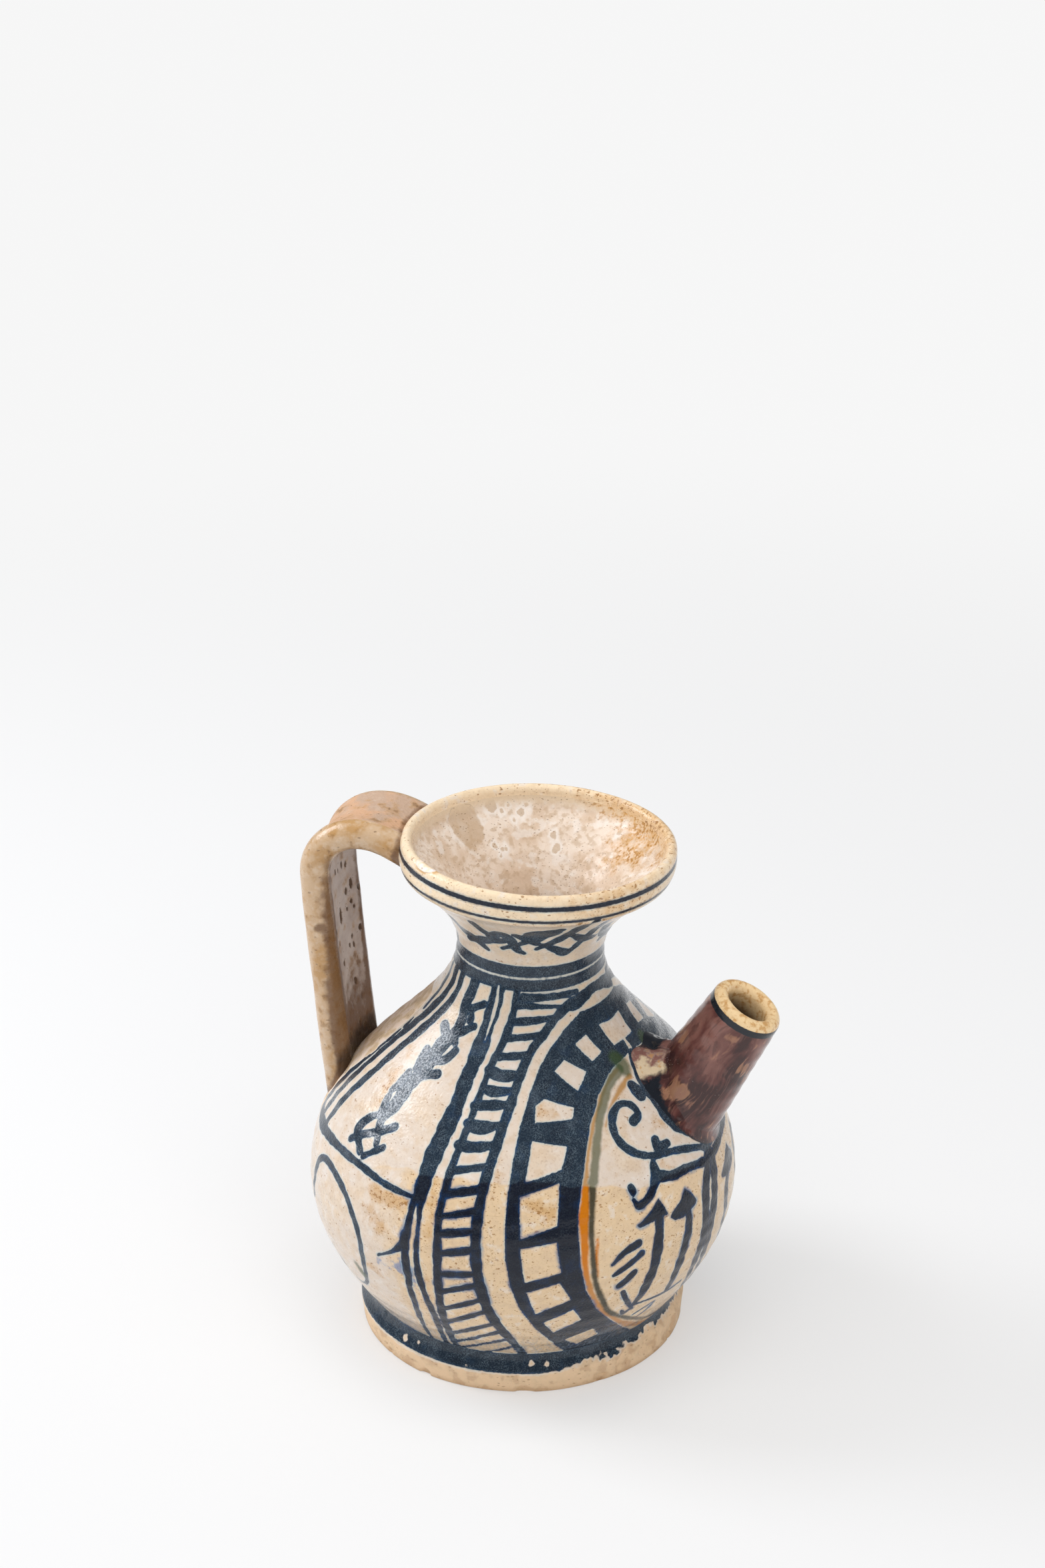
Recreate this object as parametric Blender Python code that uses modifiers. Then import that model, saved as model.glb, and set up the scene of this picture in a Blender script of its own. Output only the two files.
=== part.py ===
"""Oil cruet in tin-glazed earthenware, built from the pieces that a potter lutes together.

The vessel stands on its foot at the origin, +Z up. The spout points along +X, the strap handle
lies opposite it along -X, and the XZ plane cuts both in half. Lengths are in metres.
"""

import math

import bmesh
import bpy
from mathutils import Vector

MM = 0.001

# Luted joints: the film of slip between two pieces
SLIP = 0.3 * MM

# Foot: a turned disc whose dished top is the floor of the vessel
FOOT_BASE_RADIUS = 49.0 * MM
FOOT_EDGE_RADIUS = 50.2 * MM
FOOT_EDGE_HEIGHT = 7.2 * MM
FOOT_WAIST_RADIUS = 48.2 * MM
FOOT_HEIGHT = 13.0 * MM
FOOT_BASE_ROUND = 1.6 * MM
FLOOR_THICKNESS = 7.5 * MM
FLOOR_FLAT_RADIUS = 16.0 * MM
SEAT_WIDTH = 8.6 * MM

# Body: the thrown globe, in a lower and an upper half that meet at a seam above the belly
BODY_WALL = 5.0 * MM
BODY_HEEL = 8.0 * MM
BELLY_RADIUS = 64.9 * MM
BELLY_HEIGHT = 51.0 * MM
SEAM_RISE = 17.0 * MM
FOOT_FLARE_ANGLE = math.radians(53.0)
FOOT_FLARE = 13.0 * MM
BELLY_FULLNESS_BELOW = 15.0 * MM
BELLY_FULLNESS_ABOVE = 36.8 * MM
SEAM_HEIGHT = BELLY_HEIGHT + SEAM_RISE

# Neck and funnel mouth
MOUTH_WALL = 4.6 * MM
THROAT_RADIUS = 21.9 * MM
THROAT_HEIGHT = 126.0 * MM
NECK_JOINT_DROP = 17.0 * MM
THROAT_SWEEP_BELOW = 25.0 * MM
THROAT_SWEEP_ABOVE = 10.0 * MM
FUNNEL_HEIGHT = 24.0 * MM
FUNNEL_FLARE_ANGLE = math.radians(38.0)
FUNNEL_FLARE = 9.0 * MM
LIP_RADIUS = 40.6 * MM
LIP_OVERHANG = 2.4 * MM
LIP_HEIGHT = 10.0 * MM
LIP_WIDTH = 3.6 * MM
LIP_CROWN = 2.2 * MM
NECK_JOINT_HEIGHT = THROAT_HEIGHT - NECK_JOINT_DROP
LIP_BASE_HEIGHT = THROAT_HEIGHT + FUNNEL_HEIGHT
LIP_BASE_RADIUS = LIP_RADIUS - LIP_OVERHANG
RIM_HEIGHT = LIP_BASE_HEIGHT + LIP_HEIGHT

# Lean: the soft clay settled towards the spout, more and more with height
RIM_SHIFT = 5.2 * MM
RIM_TILT = 0.034
LEAN_POWER = 3

# Spout: a tapered tube luted over a hole in the shoulder
SPOUT_ROOT_RISE = 33.0 * MM
SPOUT_PITCH = math.radians(60.4)
SPOUT_LENGTH = 37.4 * MM
SPOUT_TIP_RADIUS = 10.7 * MM
SPOUT_ROOT_RADIUS = 13.2 * MM
SPOUT_BORE_RADIUS = 6.4 * MM
SPOUT_LIP_ROUND = 3.0 * MM
SPOUT_SPARE = 26.0 * MM
SPOUT_ROOT_HEIGHT = BELLY_HEIGHT + SPOUT_ROOT_RISE

# Luting: the wad of clay pressed round the spout's root
LUTING_WIDTH = 8.5 * MM
LUTING_RISE = 7.5 * MM

# Handle: a pulled strap with a thick roll along each edge
STRAP_WIDTH = 30.5 * MM
STRAP_EDGE = 9.2 * MM
STRAP_MIDDLE = 6.6 * MM
STRAP_LIP_GROWTH = 1.06
HANDLE_REACH = 61.3 * MM
HANDLE_CROWN_RISE = 3.4 * MM
HANDLE_CROWN_SHARE = 0.38
HANDLE_BEND = 8.5 * MM
HANDLE_BEND_DROP = 14.5 * MM
HANDLE_ROOT_RISE = 28.0 * MM
HANDLE_ROOT_SWEEP = 16.5 * MM
HANDLE_LIP_DROP = 9.5 * MM
HANDLE_LIP_SINK = 17.0 * MM
HANDLE_LIP_PITCH = math.radians(32.0)
HANDLE_LIP_SWEEP = 10.0 * MM
HANDLE_SPARE = 13.0 * MM
HANDLE_ROOT_HEIGHT = BELLY_HEIGHT + HANDLE_ROOT_RISE

# Fineness of the facets
RING_STEPS = 64
SPOUT_STEPS = 40
OUTLINE_STEP = 6.0 * MM
ROUND_STEPS = 5
COVE_STEPS = 4
STRAP_STEPS = 11
STRAP_HOLLOW_SHARES = (0.55, 0.0, -0.55)
BALL_SEGMENTS = 40
SLOPE_STEP = 0.2 * MM
SOLVE_STEPS = 40
MERGE = 0.005 * MM
SHARP_ANGLE = math.radians(35.0)


def bezier(start, start_handle, end_handle, end, share):
    """Return the point at a share from 0 to 1 along a cubic Bezier arc."""
    rest = 1.0 - share
    return (
        start * rest ** 3
        + start_handle * (3.0 * rest ** 2 * share)
        + end_handle * (3.0 * rest * share ** 2)
        + end * share ** 3
    )


def polar(length, angle):
    """Return the plane vector of a length at an angle up from the horizontal."""
    return Vector((length * math.cos(angle), length * math.sin(angle)))


class Outline:
    """The outer profile of the vessel from the foot's waist to the lip, as a function of height."""

    def __init__(self):
        waist = Vector((FOOT_WAIST_RADIUS, FOOT_HEIGHT))
        belly = Vector((BELLY_RADIUS, BELLY_HEIGHT))
        throat = Vector((THROAT_RADIUS, THROAT_HEIGHT))
        lip = Vector((LIP_BASE_RADIUS, LIP_BASE_HEIGHT))
        self.arcs = (
            (waist, waist + polar(FOOT_FLARE, FOOT_FLARE_ANGLE),
             belly - Vector((0.0, BELLY_FULLNESS_BELOW)), belly),
            (belly, belly + Vector((0.0, BELLY_FULLNESS_ABOVE)),
             throat - Vector((0.0, THROAT_SWEEP_BELOW)), throat),
            (throat, throat + Vector((0.0, THROAT_SWEEP_ABOVE)),
             lip - polar(FUNNEL_FLARE, FUNNEL_FLARE_ANGLE), lip),
        )

    def point(self, height):
        """Return the point of the profile at a height, as radius and height."""
        arc = next((arc for arc in self.arcs if height <= arc[3].y), self.arcs[-1])
        low, high = 0.0, 1.0
        for _ in range(SOLVE_STEPS):
            middle = 0.5 * (low + high)
            if bezier(*arc, middle).y < height:
                low = middle
            else:
                high = middle
        return bezier(*arc, 0.5 * (low + high))

    def normal(self, height):
        """Return the profile's unit normal at a height, pointing out of the vessel."""
        low = max(height - SLOPE_STEP, FOOT_HEIGHT)
        high = min(height + SLOPE_STEP, LIP_BASE_HEIGHT)
        along = self.point(high) - self.point(low)
        return Vector((along.y, -along.x)).normalized()

    def stretch(self, low, high, offset):
        """Return points of the profile between two heights, moved out along the normal."""
        count = max(2, round((self.point(high) - self.point(low)).length / OUTLINE_STEP))
        heights = [low + (high - low) * index / count for index in range(count + 1)]
        return [self.point(height) + self.normal(height) * offset for height in heights]


def lip_section(grow):
    """Return the lip's outer bulge and rounded top, from its lower edge up and over to the inside."""
    half = 0.5 * LIP_WIDTH
    centre = Vector((LIP_RADIUS - half, RIM_HEIGHT - LIP_CROWN))
    points = []
    for index in range(2 * ROUND_STEPS + 1):
        turn = math.pi * index / (2 * ROUND_STEPS)
        points.append(centre + Vector((
            (half + grow) * math.cos(turn),
            (LIP_CROWN + grow) * math.sin(turn),
        )))
    side = Vector((LIP_RADIUS + grow, 0.5 * (LIP_BASE_HEIGHT + centre.y)))
    return [side, *points]


def lean(point):
    """Carry a point of the true turned vessel to where the clay settled."""
    share = (max(point.z, 0.0) / RIM_HEIGHT) ** LEAN_POWER
    return Vector((
        point.x + RIM_SHIFT * share,
        point.y,
        point.z - RIM_TILT * share * point.x,
    ))


def clear_scene():
    """Remove whatever objects the scene starts with."""
    for thing in list(bpy.data.objects):
        bpy.data.objects.remove(thing, do_unlink=True)


def collection(name):
    """Return a new collection in the scene."""
    group = bpy.data.collections.new(name)
    bpy.context.scene.collection.children.link(group)
    return group


def material(name, colour, roughness):
    """Return a Principled material of a plain colour."""
    finish = bpy.data.materials.new(name)
    finish.use_nodes = True
    shader = finish.node_tree.nodes["Principled BSDF"]
    shader.inputs["Base Color"].default_value = (*colour, 1.0)
    shader.inputs["Roughness"].default_value = roughness
    shader.inputs["Metallic"].default_value = 0.0
    finish.diffuse_color = (*colour, 1.0)
    return finish


def place(name, mesh, group, parent=None):
    """Link a mesh to a collection as a named object, smooth where it is round."""
    mesh.name = name
    thing = bpy.data.objects.new(name, mesh)
    group.objects.link(thing)
    thing.parent = parent
    mesh.shade_smooth()
    mesh.set_sharp_from_angle(angle=SHARP_ANGLE)
    return thing


def mark_cutter(thing):
    """Keep a cutter out of the model."""
    thing.hide_render = True
    thing.display_type = "WIRE"
    return thing


def taken_mesh(thing):
    """Return the evaluated mesh of a helper object with its seams welded, and remove the helper."""
    bpy.context.view_layer.update()
    evaluated = thing.evaluated_get(bpy.context.evaluated_depsgraph_get())
    mesh = bpy.data.meshes.new_from_object(evaluated)
    bpy.data.objects.remove(thing, do_unlink=True)
    work = bmesh.new()
    work.from_mesh(mesh)
    bmesh.ops.remove_doubles(work, verts=work.verts, dist=MERGE)
    work.to_mesh(mesh)
    work.free()
    return mesh


def turned_mesh(profile, steps, closed):
    """Turn a profile of radius and height about Z; it runs down its outer side."""
    count = len(profile)
    edges = [(index, index + 1) for index in range(count - 1)]
    if closed:
        edges.append((count - 1, 0))
    wire = bpy.data.meshes.new("profile")
    wire.from_pydata([(point.x, 0.0, point.y) for point in profile], edges, [])
    helper = bpy.data.objects.new("profile", wire)
    bpy.context.scene.collection.objects.link(helper)
    screw = helper.modifiers.new("turn", "SCREW")
    screw.axis = "Z"
    screw.steps = steps
    screw.render_steps = steps
    screw.use_merge_vertices = True
    screw.merge_threshold = MERGE
    return taken_mesh(helper)


def thrown_mesh(profile, closed):
    """Turn a profile of the vessel itself and let it lean."""
    mesh = turned_mesh(profile, RING_STEPS, closed)
    for vertex in mesh.vertices:
        vertex.co = lean(vertex.co)
    return mesh


def cut(thing, cutter):
    """Cut one object with another."""
    boolean = thing.modifiers.new("cut by " + cutter.name, "BOOLEAN")
    boolean.operation = "DIFFERENCE"
    boolean.solver = "EXACT"
    boolean.object = cutter


def make_foot(group):
    """The foot disc: flat base, upright edge, hollow waist, flat seat and dished floor."""
    seat_radius = FOOT_WAIST_RADIUS - SEAT_WIDTH
    profile = [Vector((0.0, FLOOR_THICKNESS))]
    for index in range(ROUND_STEPS + 1):
        share = index / ROUND_STEPS
        height = FLOOR_THICKNESS + (FOOT_HEIGHT - FLOOR_THICKNESS) * share ** 3
        profile.append(Vector((FLOOR_FLAT_RADIUS + (seat_radius - FLOOR_FLAT_RADIUS) * share, height)))
    waist = Vector((FOOT_WAIST_RADIUS, FOOT_HEIGHT))
    edge = Vector((FOOT_EDGE_RADIUS, FOOT_EDGE_HEIGHT))
    hollow = Vector((FOOT_WAIST_RADIUS, 0.5 * (FOOT_HEIGHT + FOOT_EDGE_HEIGHT)))
    profile += [bezier(waist, hollow, hollow, edge, index / COVE_STEPS) for index in range(COVE_STEPS + 1)]
    profile.append(Vector((0.5 * (FOOT_EDGE_RADIUS + FOOT_BASE_RADIUS), FOOT_BASE_ROUND)))
    profile.append(Vector((FOOT_BASE_RADIUS, 0.0)))
    profile.append(Vector((0.0, 0.0)))
    foot = place("foot", turned_mesh(profile, RING_STEPS, False), group)
    foot.data.materials.append(material("bare_fired_clay", (0.72, 0.58, 0.40), 0.75))
    return foot


def make_lower_body(group, outline):
    """The lower half of the globe, thickened where it stands on the foot."""
    base = FOOT_HEIGHT + SLIP
    top = SEAM_HEIGHT - 0.5 * SLIP
    outer = outline.stretch(base, top, 0.0)
    inner = outline.stretch(base + BODY_HEEL, top, -BODY_WALL)
    profile = [*reversed(outer), Vector((FOOT_WAIST_RADIUS - SEAT_WIDTH, base)), *inner]
    lower = place("lower_body", thrown_mesh(profile, True), group)
    lower.data.materials.append(material("lower_glaze", (0.74, 0.60, 0.42), 0.22))
    return lower


def make_upper_body(group, outline, bore):
    """The shoulder half of the globe, with the hole that feeds the spout."""
    base = SEAM_HEIGHT + 0.5 * SLIP
    top = NECK_JOINT_HEIGHT - 0.5 * SLIP
    outer = outline.stretch(base, top, 0.0)
    inner = outline.stretch(base, top, -BODY_WALL)
    upper = place("upper_body", thrown_mesh([*reversed(outer), *inner], True), group)
    upper.data.materials.append(material("upper_glaze", (0.78, 0.68, 0.54), 0.2))
    cut(upper, bore)
    return upper


def make_mouth(group, outline):
    """The neck and funnel, thrown in one, with a thick rolled lip."""
    base = NECK_JOINT_HEIGHT + 0.5 * SLIP
    outer = outline.stretch(base, THROAT_HEIGHT, 0.0)
    outer += outline.stretch(THROAT_HEIGHT, LIP_BASE_HEIGHT, 0.0)[1:]
    lip = lip_section(0.0)
    lower_inner = outline.stretch(base, THROAT_HEIGHT, -BODY_WALL)
    wall_step = BODY_WALL - MOUTH_WALL
    neck_inner = [
        point + Vector((wall_step * index / (len(lower_inner) - 1), 0.0))
        for index, point in enumerate(lower_inner)
    ]
    funnel_inner = outline.stretch(THROAT_HEIGHT, LIP_BASE_HEIGHT, -MOUTH_WALL)[1:]
    profile = [*reversed([*outer, *lip]), *neck_inner, *funnel_inner]
    mouth = place("funnel_mouth", thrown_mesh(profile, True), group)
    mouth.data.materials.append(material("mouth_glaze", (0.76, 0.64, 0.47), 0.25))
    return mouth


def make_seat(group, outline):
    """A cutter of the vessel's outside, grown by the slip film, that fits the luted pieces to it."""
    top = RIM_HEIGHT + SLIP
    skin = outline.stretch(FOOT_HEIGHT, BELLY_HEIGHT, SLIP)
    skin += outline.stretch(BELLY_HEIGHT, SEAM_HEIGHT - 0.5 * SLIP, SLIP)[1:]
    skin += outline.stretch(SEAM_HEIGHT + 0.5 * SLIP, NECK_JOINT_HEIGHT - 0.5 * SLIP, SLIP)
    skin += outline.stretch(NECK_JOINT_HEIGHT + 0.5 * SLIP, THROAT_HEIGHT, SLIP)
    skin += outline.stretch(THROAT_HEIGHT, LIP_BASE_HEIGHT, SLIP)[1:]
    skin += [point for point in lip_section(SLIP) if point.x > LIP_RADIUS - 0.5 * LIP_WIDTH]
    profile = [Vector((0.0, top)), *reversed(skin), Vector((0.0, skin[0].y))]
    return mark_cutter(place("vessel_seat", thrown_mesh(profile, False), group))


def spout_frame(group, outline):
    """An empty where the spout's axis leaves the shoulder, its Z along the spout."""
    root = outline.point(SPOUT_ROOT_HEIGHT)
    frame = bpy.data.objects.new("spout_frame", None)
    group.objects.link(frame)
    frame.location = (root.x, 0.0, root.y)
    frame.rotation_euler = (0.0, 0.5 * math.pi - SPOUT_PITCH, 0.0)
    return frame


def spout_side(grow):
    """Return the spout's straight flank, from under its lip down past its root."""
    taper = (SPOUT_ROOT_RADIUS - SPOUT_TIP_RADIUS) / SPOUT_LENGTH
    shoulder = SPOUT_LENGTH - SPOUT_LIP_ROUND
    radius = SPOUT_TIP_RADIUS + taper * SPOUT_LIP_ROUND
    foot = SPOUT_TIP_RADIUS + taper * (SPOUT_LENGTH + SPOUT_SPARE)
    return [Vector((radius + grow, shoulder)), Vector((foot + grow, -SPOUT_SPARE))]


def make_spout(group, frame, seat):
    """The spout tube with its rounded lip, its root cut to sit on the shoulder."""
    side = spout_side(0.0)
    rim_width = side[0].x - SPOUT_BORE_RADIUS
    rim = []
    for index in range(2 * ROUND_STEPS + 1):
        turn = math.pi * index / (2 * ROUND_STEPS)
        rim.append(Vector((
            SPOUT_BORE_RADIUS + 0.5 * rim_width * (1.0 - math.cos(turn)),
            side[0].y + SPOUT_LIP_ROUND * math.sin(turn),
        )))
    profile = [*rim, side[1], Vector((SPOUT_BORE_RADIUS, -SPOUT_SPARE))]
    spout = place("pouring_spout", turned_mesh(profile, SPOUT_STEPS, True), group, frame)
    spout.data.materials.append(material("manganese_glaze", (0.17, 0.07, 0.06), 0.3))
    cut(spout, seat)
    return spout


def make_bore(group, frame):
    """A cutter that carries the spout's bore through the wall of the shoulder."""
    profile = [
        Vector((0.0, SPOUT_SPARE)),
        Vector((SPOUT_BORE_RADIUS, SPOUT_SPARE)),
        Vector((SPOUT_BORE_RADIUS, -SPOUT_SPARE)),
        Vector((0.0, -SPOUT_SPARE)),
    ]
    mesh = turned_mesh(profile, SPOUT_STEPS, False)
    return mark_cutter(place("spout_bore", mesh, group, frame))


def make_luting(group, cutters, frame, outline, seat):
    """The wad of clay round the spout's root: a ball half sunk in the shoulder, holed by the tube."""
    side = spout_side(SLIP)
    sleeve_profile = [Vector((0.0, SPOUT_LENGTH)), Vector((side[0].x, SPOUT_LENGTH)), side[1],
                      Vector((0.0, -SPOUT_SPARE))]
    sleeve_mesh = turned_mesh(sleeve_profile, SPOUT_STEPS, False)
    sleeve = mark_cutter(place("spout_sleeve", sleeve_mesh, cutters, frame))
    radius = SPOUT_ROOT_RADIUS + LUTING_WIDTH
    root = outline.point(SPOUT_ROOT_HEIGHT)
    centre = root + outline.normal(SPOUT_ROOT_HEIGHT) * (LUTING_RISE - radius)
    ball = bmesh.new()
    bmesh.ops.create_uvsphere(ball, u_segments=BALL_SEGMENTS, v_segments=BALL_SEGMENTS // 2, radius=radius)
    mesh = bpy.data.meshes.new("spout_luting")
    ball.to_mesh(mesh)
    ball.free()
    luting = place("spout_luting", mesh, group)
    luting.location = (centre.x, 0.0, centre.y)
    luting.data.materials.append(material("luting_clay", (0.66, 0.55, 0.46), 0.4))
    cut(luting, seat)
    cut(luting, sleeve)
    return luting


def strap_section():
    """A closed section of the strap: a round roll along each edge and a hollow between them."""
    roll = 0.5 * STRAP_EDGE
    reach = 0.5 * STRAP_WIDTH - roll
    half = []
    for index in range(ROUND_STEPS + 2):
        turn = math.pi * (0.5 - index / (ROUND_STEPS + 1))
        half.append((reach + roll * math.cos(turn), roll * math.sin(turn)))
    for share in STRAP_HOLLOW_SHARES:
        depth = 0.5 * (STRAP_MIDDLE + (STRAP_EDGE - STRAP_MIDDLE) * share ** 2)
        half.append((reach * share, -depth))
    points = [*half, *[(-width, -depth) for width, depth in half]]
    curve = bpy.data.curves.new("strap_section", "CURVE")
    curve.dimensions = "2D"
    curve.fill_mode = "NONE"
    spline = curve.splines.new("POLY")
    spline.points.add(len(points) - 1)
    for slot, (width, depth) in zip(spline.points, points):
        slot.co = (width, depth, 0.0, 1.0)
    spline.use_cyclic_u = True
    section = bpy.data.objects.new("strap_section", curve)
    bpy.context.scene.collection.objects.link(section)
    return section


def make_handle(group, outline, seat):
    """The strap handle: level off the lip, round the bend, down the grip and onto the shoulder."""
    lip = lean(Vector((-LIP_RADIUS, 0.0, 0.5 * (LIP_BASE_HEIGHT + RIM_HEIGHT))))
    crown_height = RIM_HEIGHT + HANDLE_CROWN_RISE - 0.5 * STRAP_EDGE
    crown_x = lip.x - (HANDLE_REACH + lip.x) * HANDLE_CROWN_SHARE
    bend_height = crown_height - HANDLE_BEND_DROP
    root = outline.point(HANDLE_ROOT_HEIGHT)
    grip = Vector((-HANDLE_REACH, 0.0, bend_height))
    foot = Vector((-root.x, 0.0, root.y))
    down = (foot - grip).normalized()
    off_lip = Vector((-math.cos(HANDLE_LIP_PITCH), 0.0, math.sin(HANDLE_LIP_PITCH)))
    stops = (
        (Vector((lip.x + HANDLE_LIP_SINK, 0.0, lip.z - HANDLE_LIP_DROP)), off_lip, HANDLE_LIP_SWEEP,
         STRAP_LIP_GROWTH),
        (Vector((crown_x, 0.0, crown_height)), Vector((-1.0, 0.0, 0.0)), HANDLE_BEND, 1.0),
        (grip, Vector((0.0, 0.0, -1.0)), HANDLE_BEND, 1.0),
        (foot + down * HANDLE_SPARE, down, HANDLE_ROOT_SWEEP, 1.0),
    )
    path = bpy.data.curves.new("strap_path", "CURVE")
    path.dimensions = "3D"
    path.twist_mode = "MINIMUM"
    path.resolution_u = STRAP_STEPS
    path.render_resolution_u = STRAP_STEPS
    spline = path.splines.new("BEZIER")
    spline.bezier_points.add(len(stops) - 1)
    for slot, (place_at, heading, reach, growth) in zip(spline.bezier_points, stops):
        slot.co = place_at
        slot.handle_left_type = "FREE"
        slot.handle_right_type = "FREE"
        slot.handle_left = place_at - heading * reach
        slot.handle_right = place_at + heading * reach
        slot.radius = growth
    section = strap_section()
    path.bevel_mode = "OBJECT"
    path.bevel_object = section
    path.use_fill_caps = True
    helper = bpy.data.objects.new("strap_path", path)
    bpy.context.scene.collection.objects.link(helper)
    mesh = taken_mesh(helper)
    bpy.data.objects.remove(section, do_unlink=True)
    handle = place("strap_handle", mesh, group)
    handle.data.materials.append(material("buff_glaze", (0.70, 0.56, 0.38), 0.4))
    cut(handle, seat)
    return handle


def main():
    """Build the cruet piece by piece from the foot up."""
    clear_scene()
    group = collection("oil_cruet")
    cutters = collection("cutters")
    outline = Outline()
    seat = make_seat(cutters, outline)
    frame = spout_frame(group, outline)
    bore = make_bore(cutters, frame)
    make_foot(group)
    make_lower_body(group, outline)
    make_upper_body(group, outline, bore)
    make_mouth(group, outline)
    make_spout(group, frame, seat)
    make_luting(group, cutters, frame, outline, seat)
    make_handle(group, outline, seat)
    bpy.context.view_layer.update()


main()
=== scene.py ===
"""Looks of a tin-glazed earthenware oil cruet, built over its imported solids.

The solids give every piece its place and size. Here each piece gets its hand-made skin and its
glaze: the painted ornament, the mends, the stains and the wear. Lengths are in millimetres until
a mesh is made. Heights are measured on the vessel before it leaned, and turns are degrees round
its axis from the spout, positive towards the camera.
"""

from __future__ import annotations

import logging
import math
from dataclasses import dataclass, replace
from enum import StrEnum
from functools import cached_property
from typing import Any, Iterable, Sequence, Union

import bpy
import numpy as np
from mathutils import Matrix, Vector, noise

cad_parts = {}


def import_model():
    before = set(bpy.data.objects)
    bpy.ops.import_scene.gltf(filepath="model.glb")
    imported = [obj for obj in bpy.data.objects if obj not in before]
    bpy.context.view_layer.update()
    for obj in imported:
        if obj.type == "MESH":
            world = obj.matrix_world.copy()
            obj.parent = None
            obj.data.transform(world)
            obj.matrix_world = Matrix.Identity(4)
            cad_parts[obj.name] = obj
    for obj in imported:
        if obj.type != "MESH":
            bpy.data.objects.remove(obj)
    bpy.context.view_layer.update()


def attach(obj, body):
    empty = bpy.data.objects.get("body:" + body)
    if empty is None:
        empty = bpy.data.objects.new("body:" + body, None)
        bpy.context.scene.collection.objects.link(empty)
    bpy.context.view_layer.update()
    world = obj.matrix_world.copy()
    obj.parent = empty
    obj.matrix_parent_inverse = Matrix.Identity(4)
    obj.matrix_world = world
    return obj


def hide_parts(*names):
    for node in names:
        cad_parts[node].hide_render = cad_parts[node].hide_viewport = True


LOG = logging.getLogger("oil_cruet")

MM = 0.001
DEGREE = math.radians(1.0)
BODY = "root"
WELD = 0.002 * MM
CORNER_ANGLE = math.radians(38.0)
REACH = 3.0
SKIN_DEPTH = 1.5

Points = np.ndarray
Place = tuple[float, float]
Knot = tuple[float, float, float]
Colour = tuple[float, float, float]


def srgb(red: int, green: int, blue: int) -> Colour:
    """Turn a colour as a picture shows it into the linear values that shaders take.

    Args:
        red: Red from 0 to 255.
        green: Green from 0 to 255.
        blue: Blue from 0 to 255.

    Returns:
        The linear colour.
    """
    shares = [value / 255.0 for value in (red, green, blue)]
    linear = [s / 12.92 if s <= 0.04045 else ((s + 0.055) / 1.055) ** 2.4 for s in shares]
    return (linear[0], linear[1], linear[2])


def polar(length: float, angle: float) -> Points:
    """Return a step of a length at an angle up from level."""
    return length * np.array([math.cos(angle), math.sin(angle)])


def bezier(start: Points, start_handle: Points, end_handle: Points, end: Points, count: int) -> Points:
    """Sample a cubic Bezier arc, or several at once.

    Args:
        start: First point of each arc.
        start_handle: Handle of the first point.
        end_handle: Handle of the last point.
        end: Last point of each arc.
        count: Number of samples.

    Returns:
        The samples, one row each.
    """
    share = np.linspace(0.0, 1.0, count).reshape(-1, *[1] * start.ndim)
    rest = 1.0 - share
    near = start * rest**3 + start_handle * (3.0 * rest**2 * share)
    return near + end_handle * (3.0 * rest * share**2) + end * share**3


def run_lengths(line: Points) -> Points:
    """Return the length run along a line of points at each of them."""
    return np.concatenate([[0.0], np.cumsum(np.linalg.norm(np.diff(line, axis=0), axis=1))])


def even(line: Points, step: float, run: Points | None = None) -> Points:
    """Space points evenly along a line.

    Args:
        line: Points of the line.
        step: Distance between the new points.
        run: Length run at each point, where it isn't the line's own.

    Returns:
        The new points, with both ends kept.
    """
    run = run_lengths(line) if run is None else run
    at = np.linspace(0.0, run[-1], max(2, round(run[-1] / step) + 1))
    return np.column_stack([np.interp(at, run, column) for column in line.T])


def smooth_step(values: Points, low: float, high: float) -> Points:
    """Return a smooth rise from 0 at low to 1 at high."""
    share = np.clip((values - low) / (high - low), 0.0, 1.0)
    return share * share * (3.0 - 2.0 * share)


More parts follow.
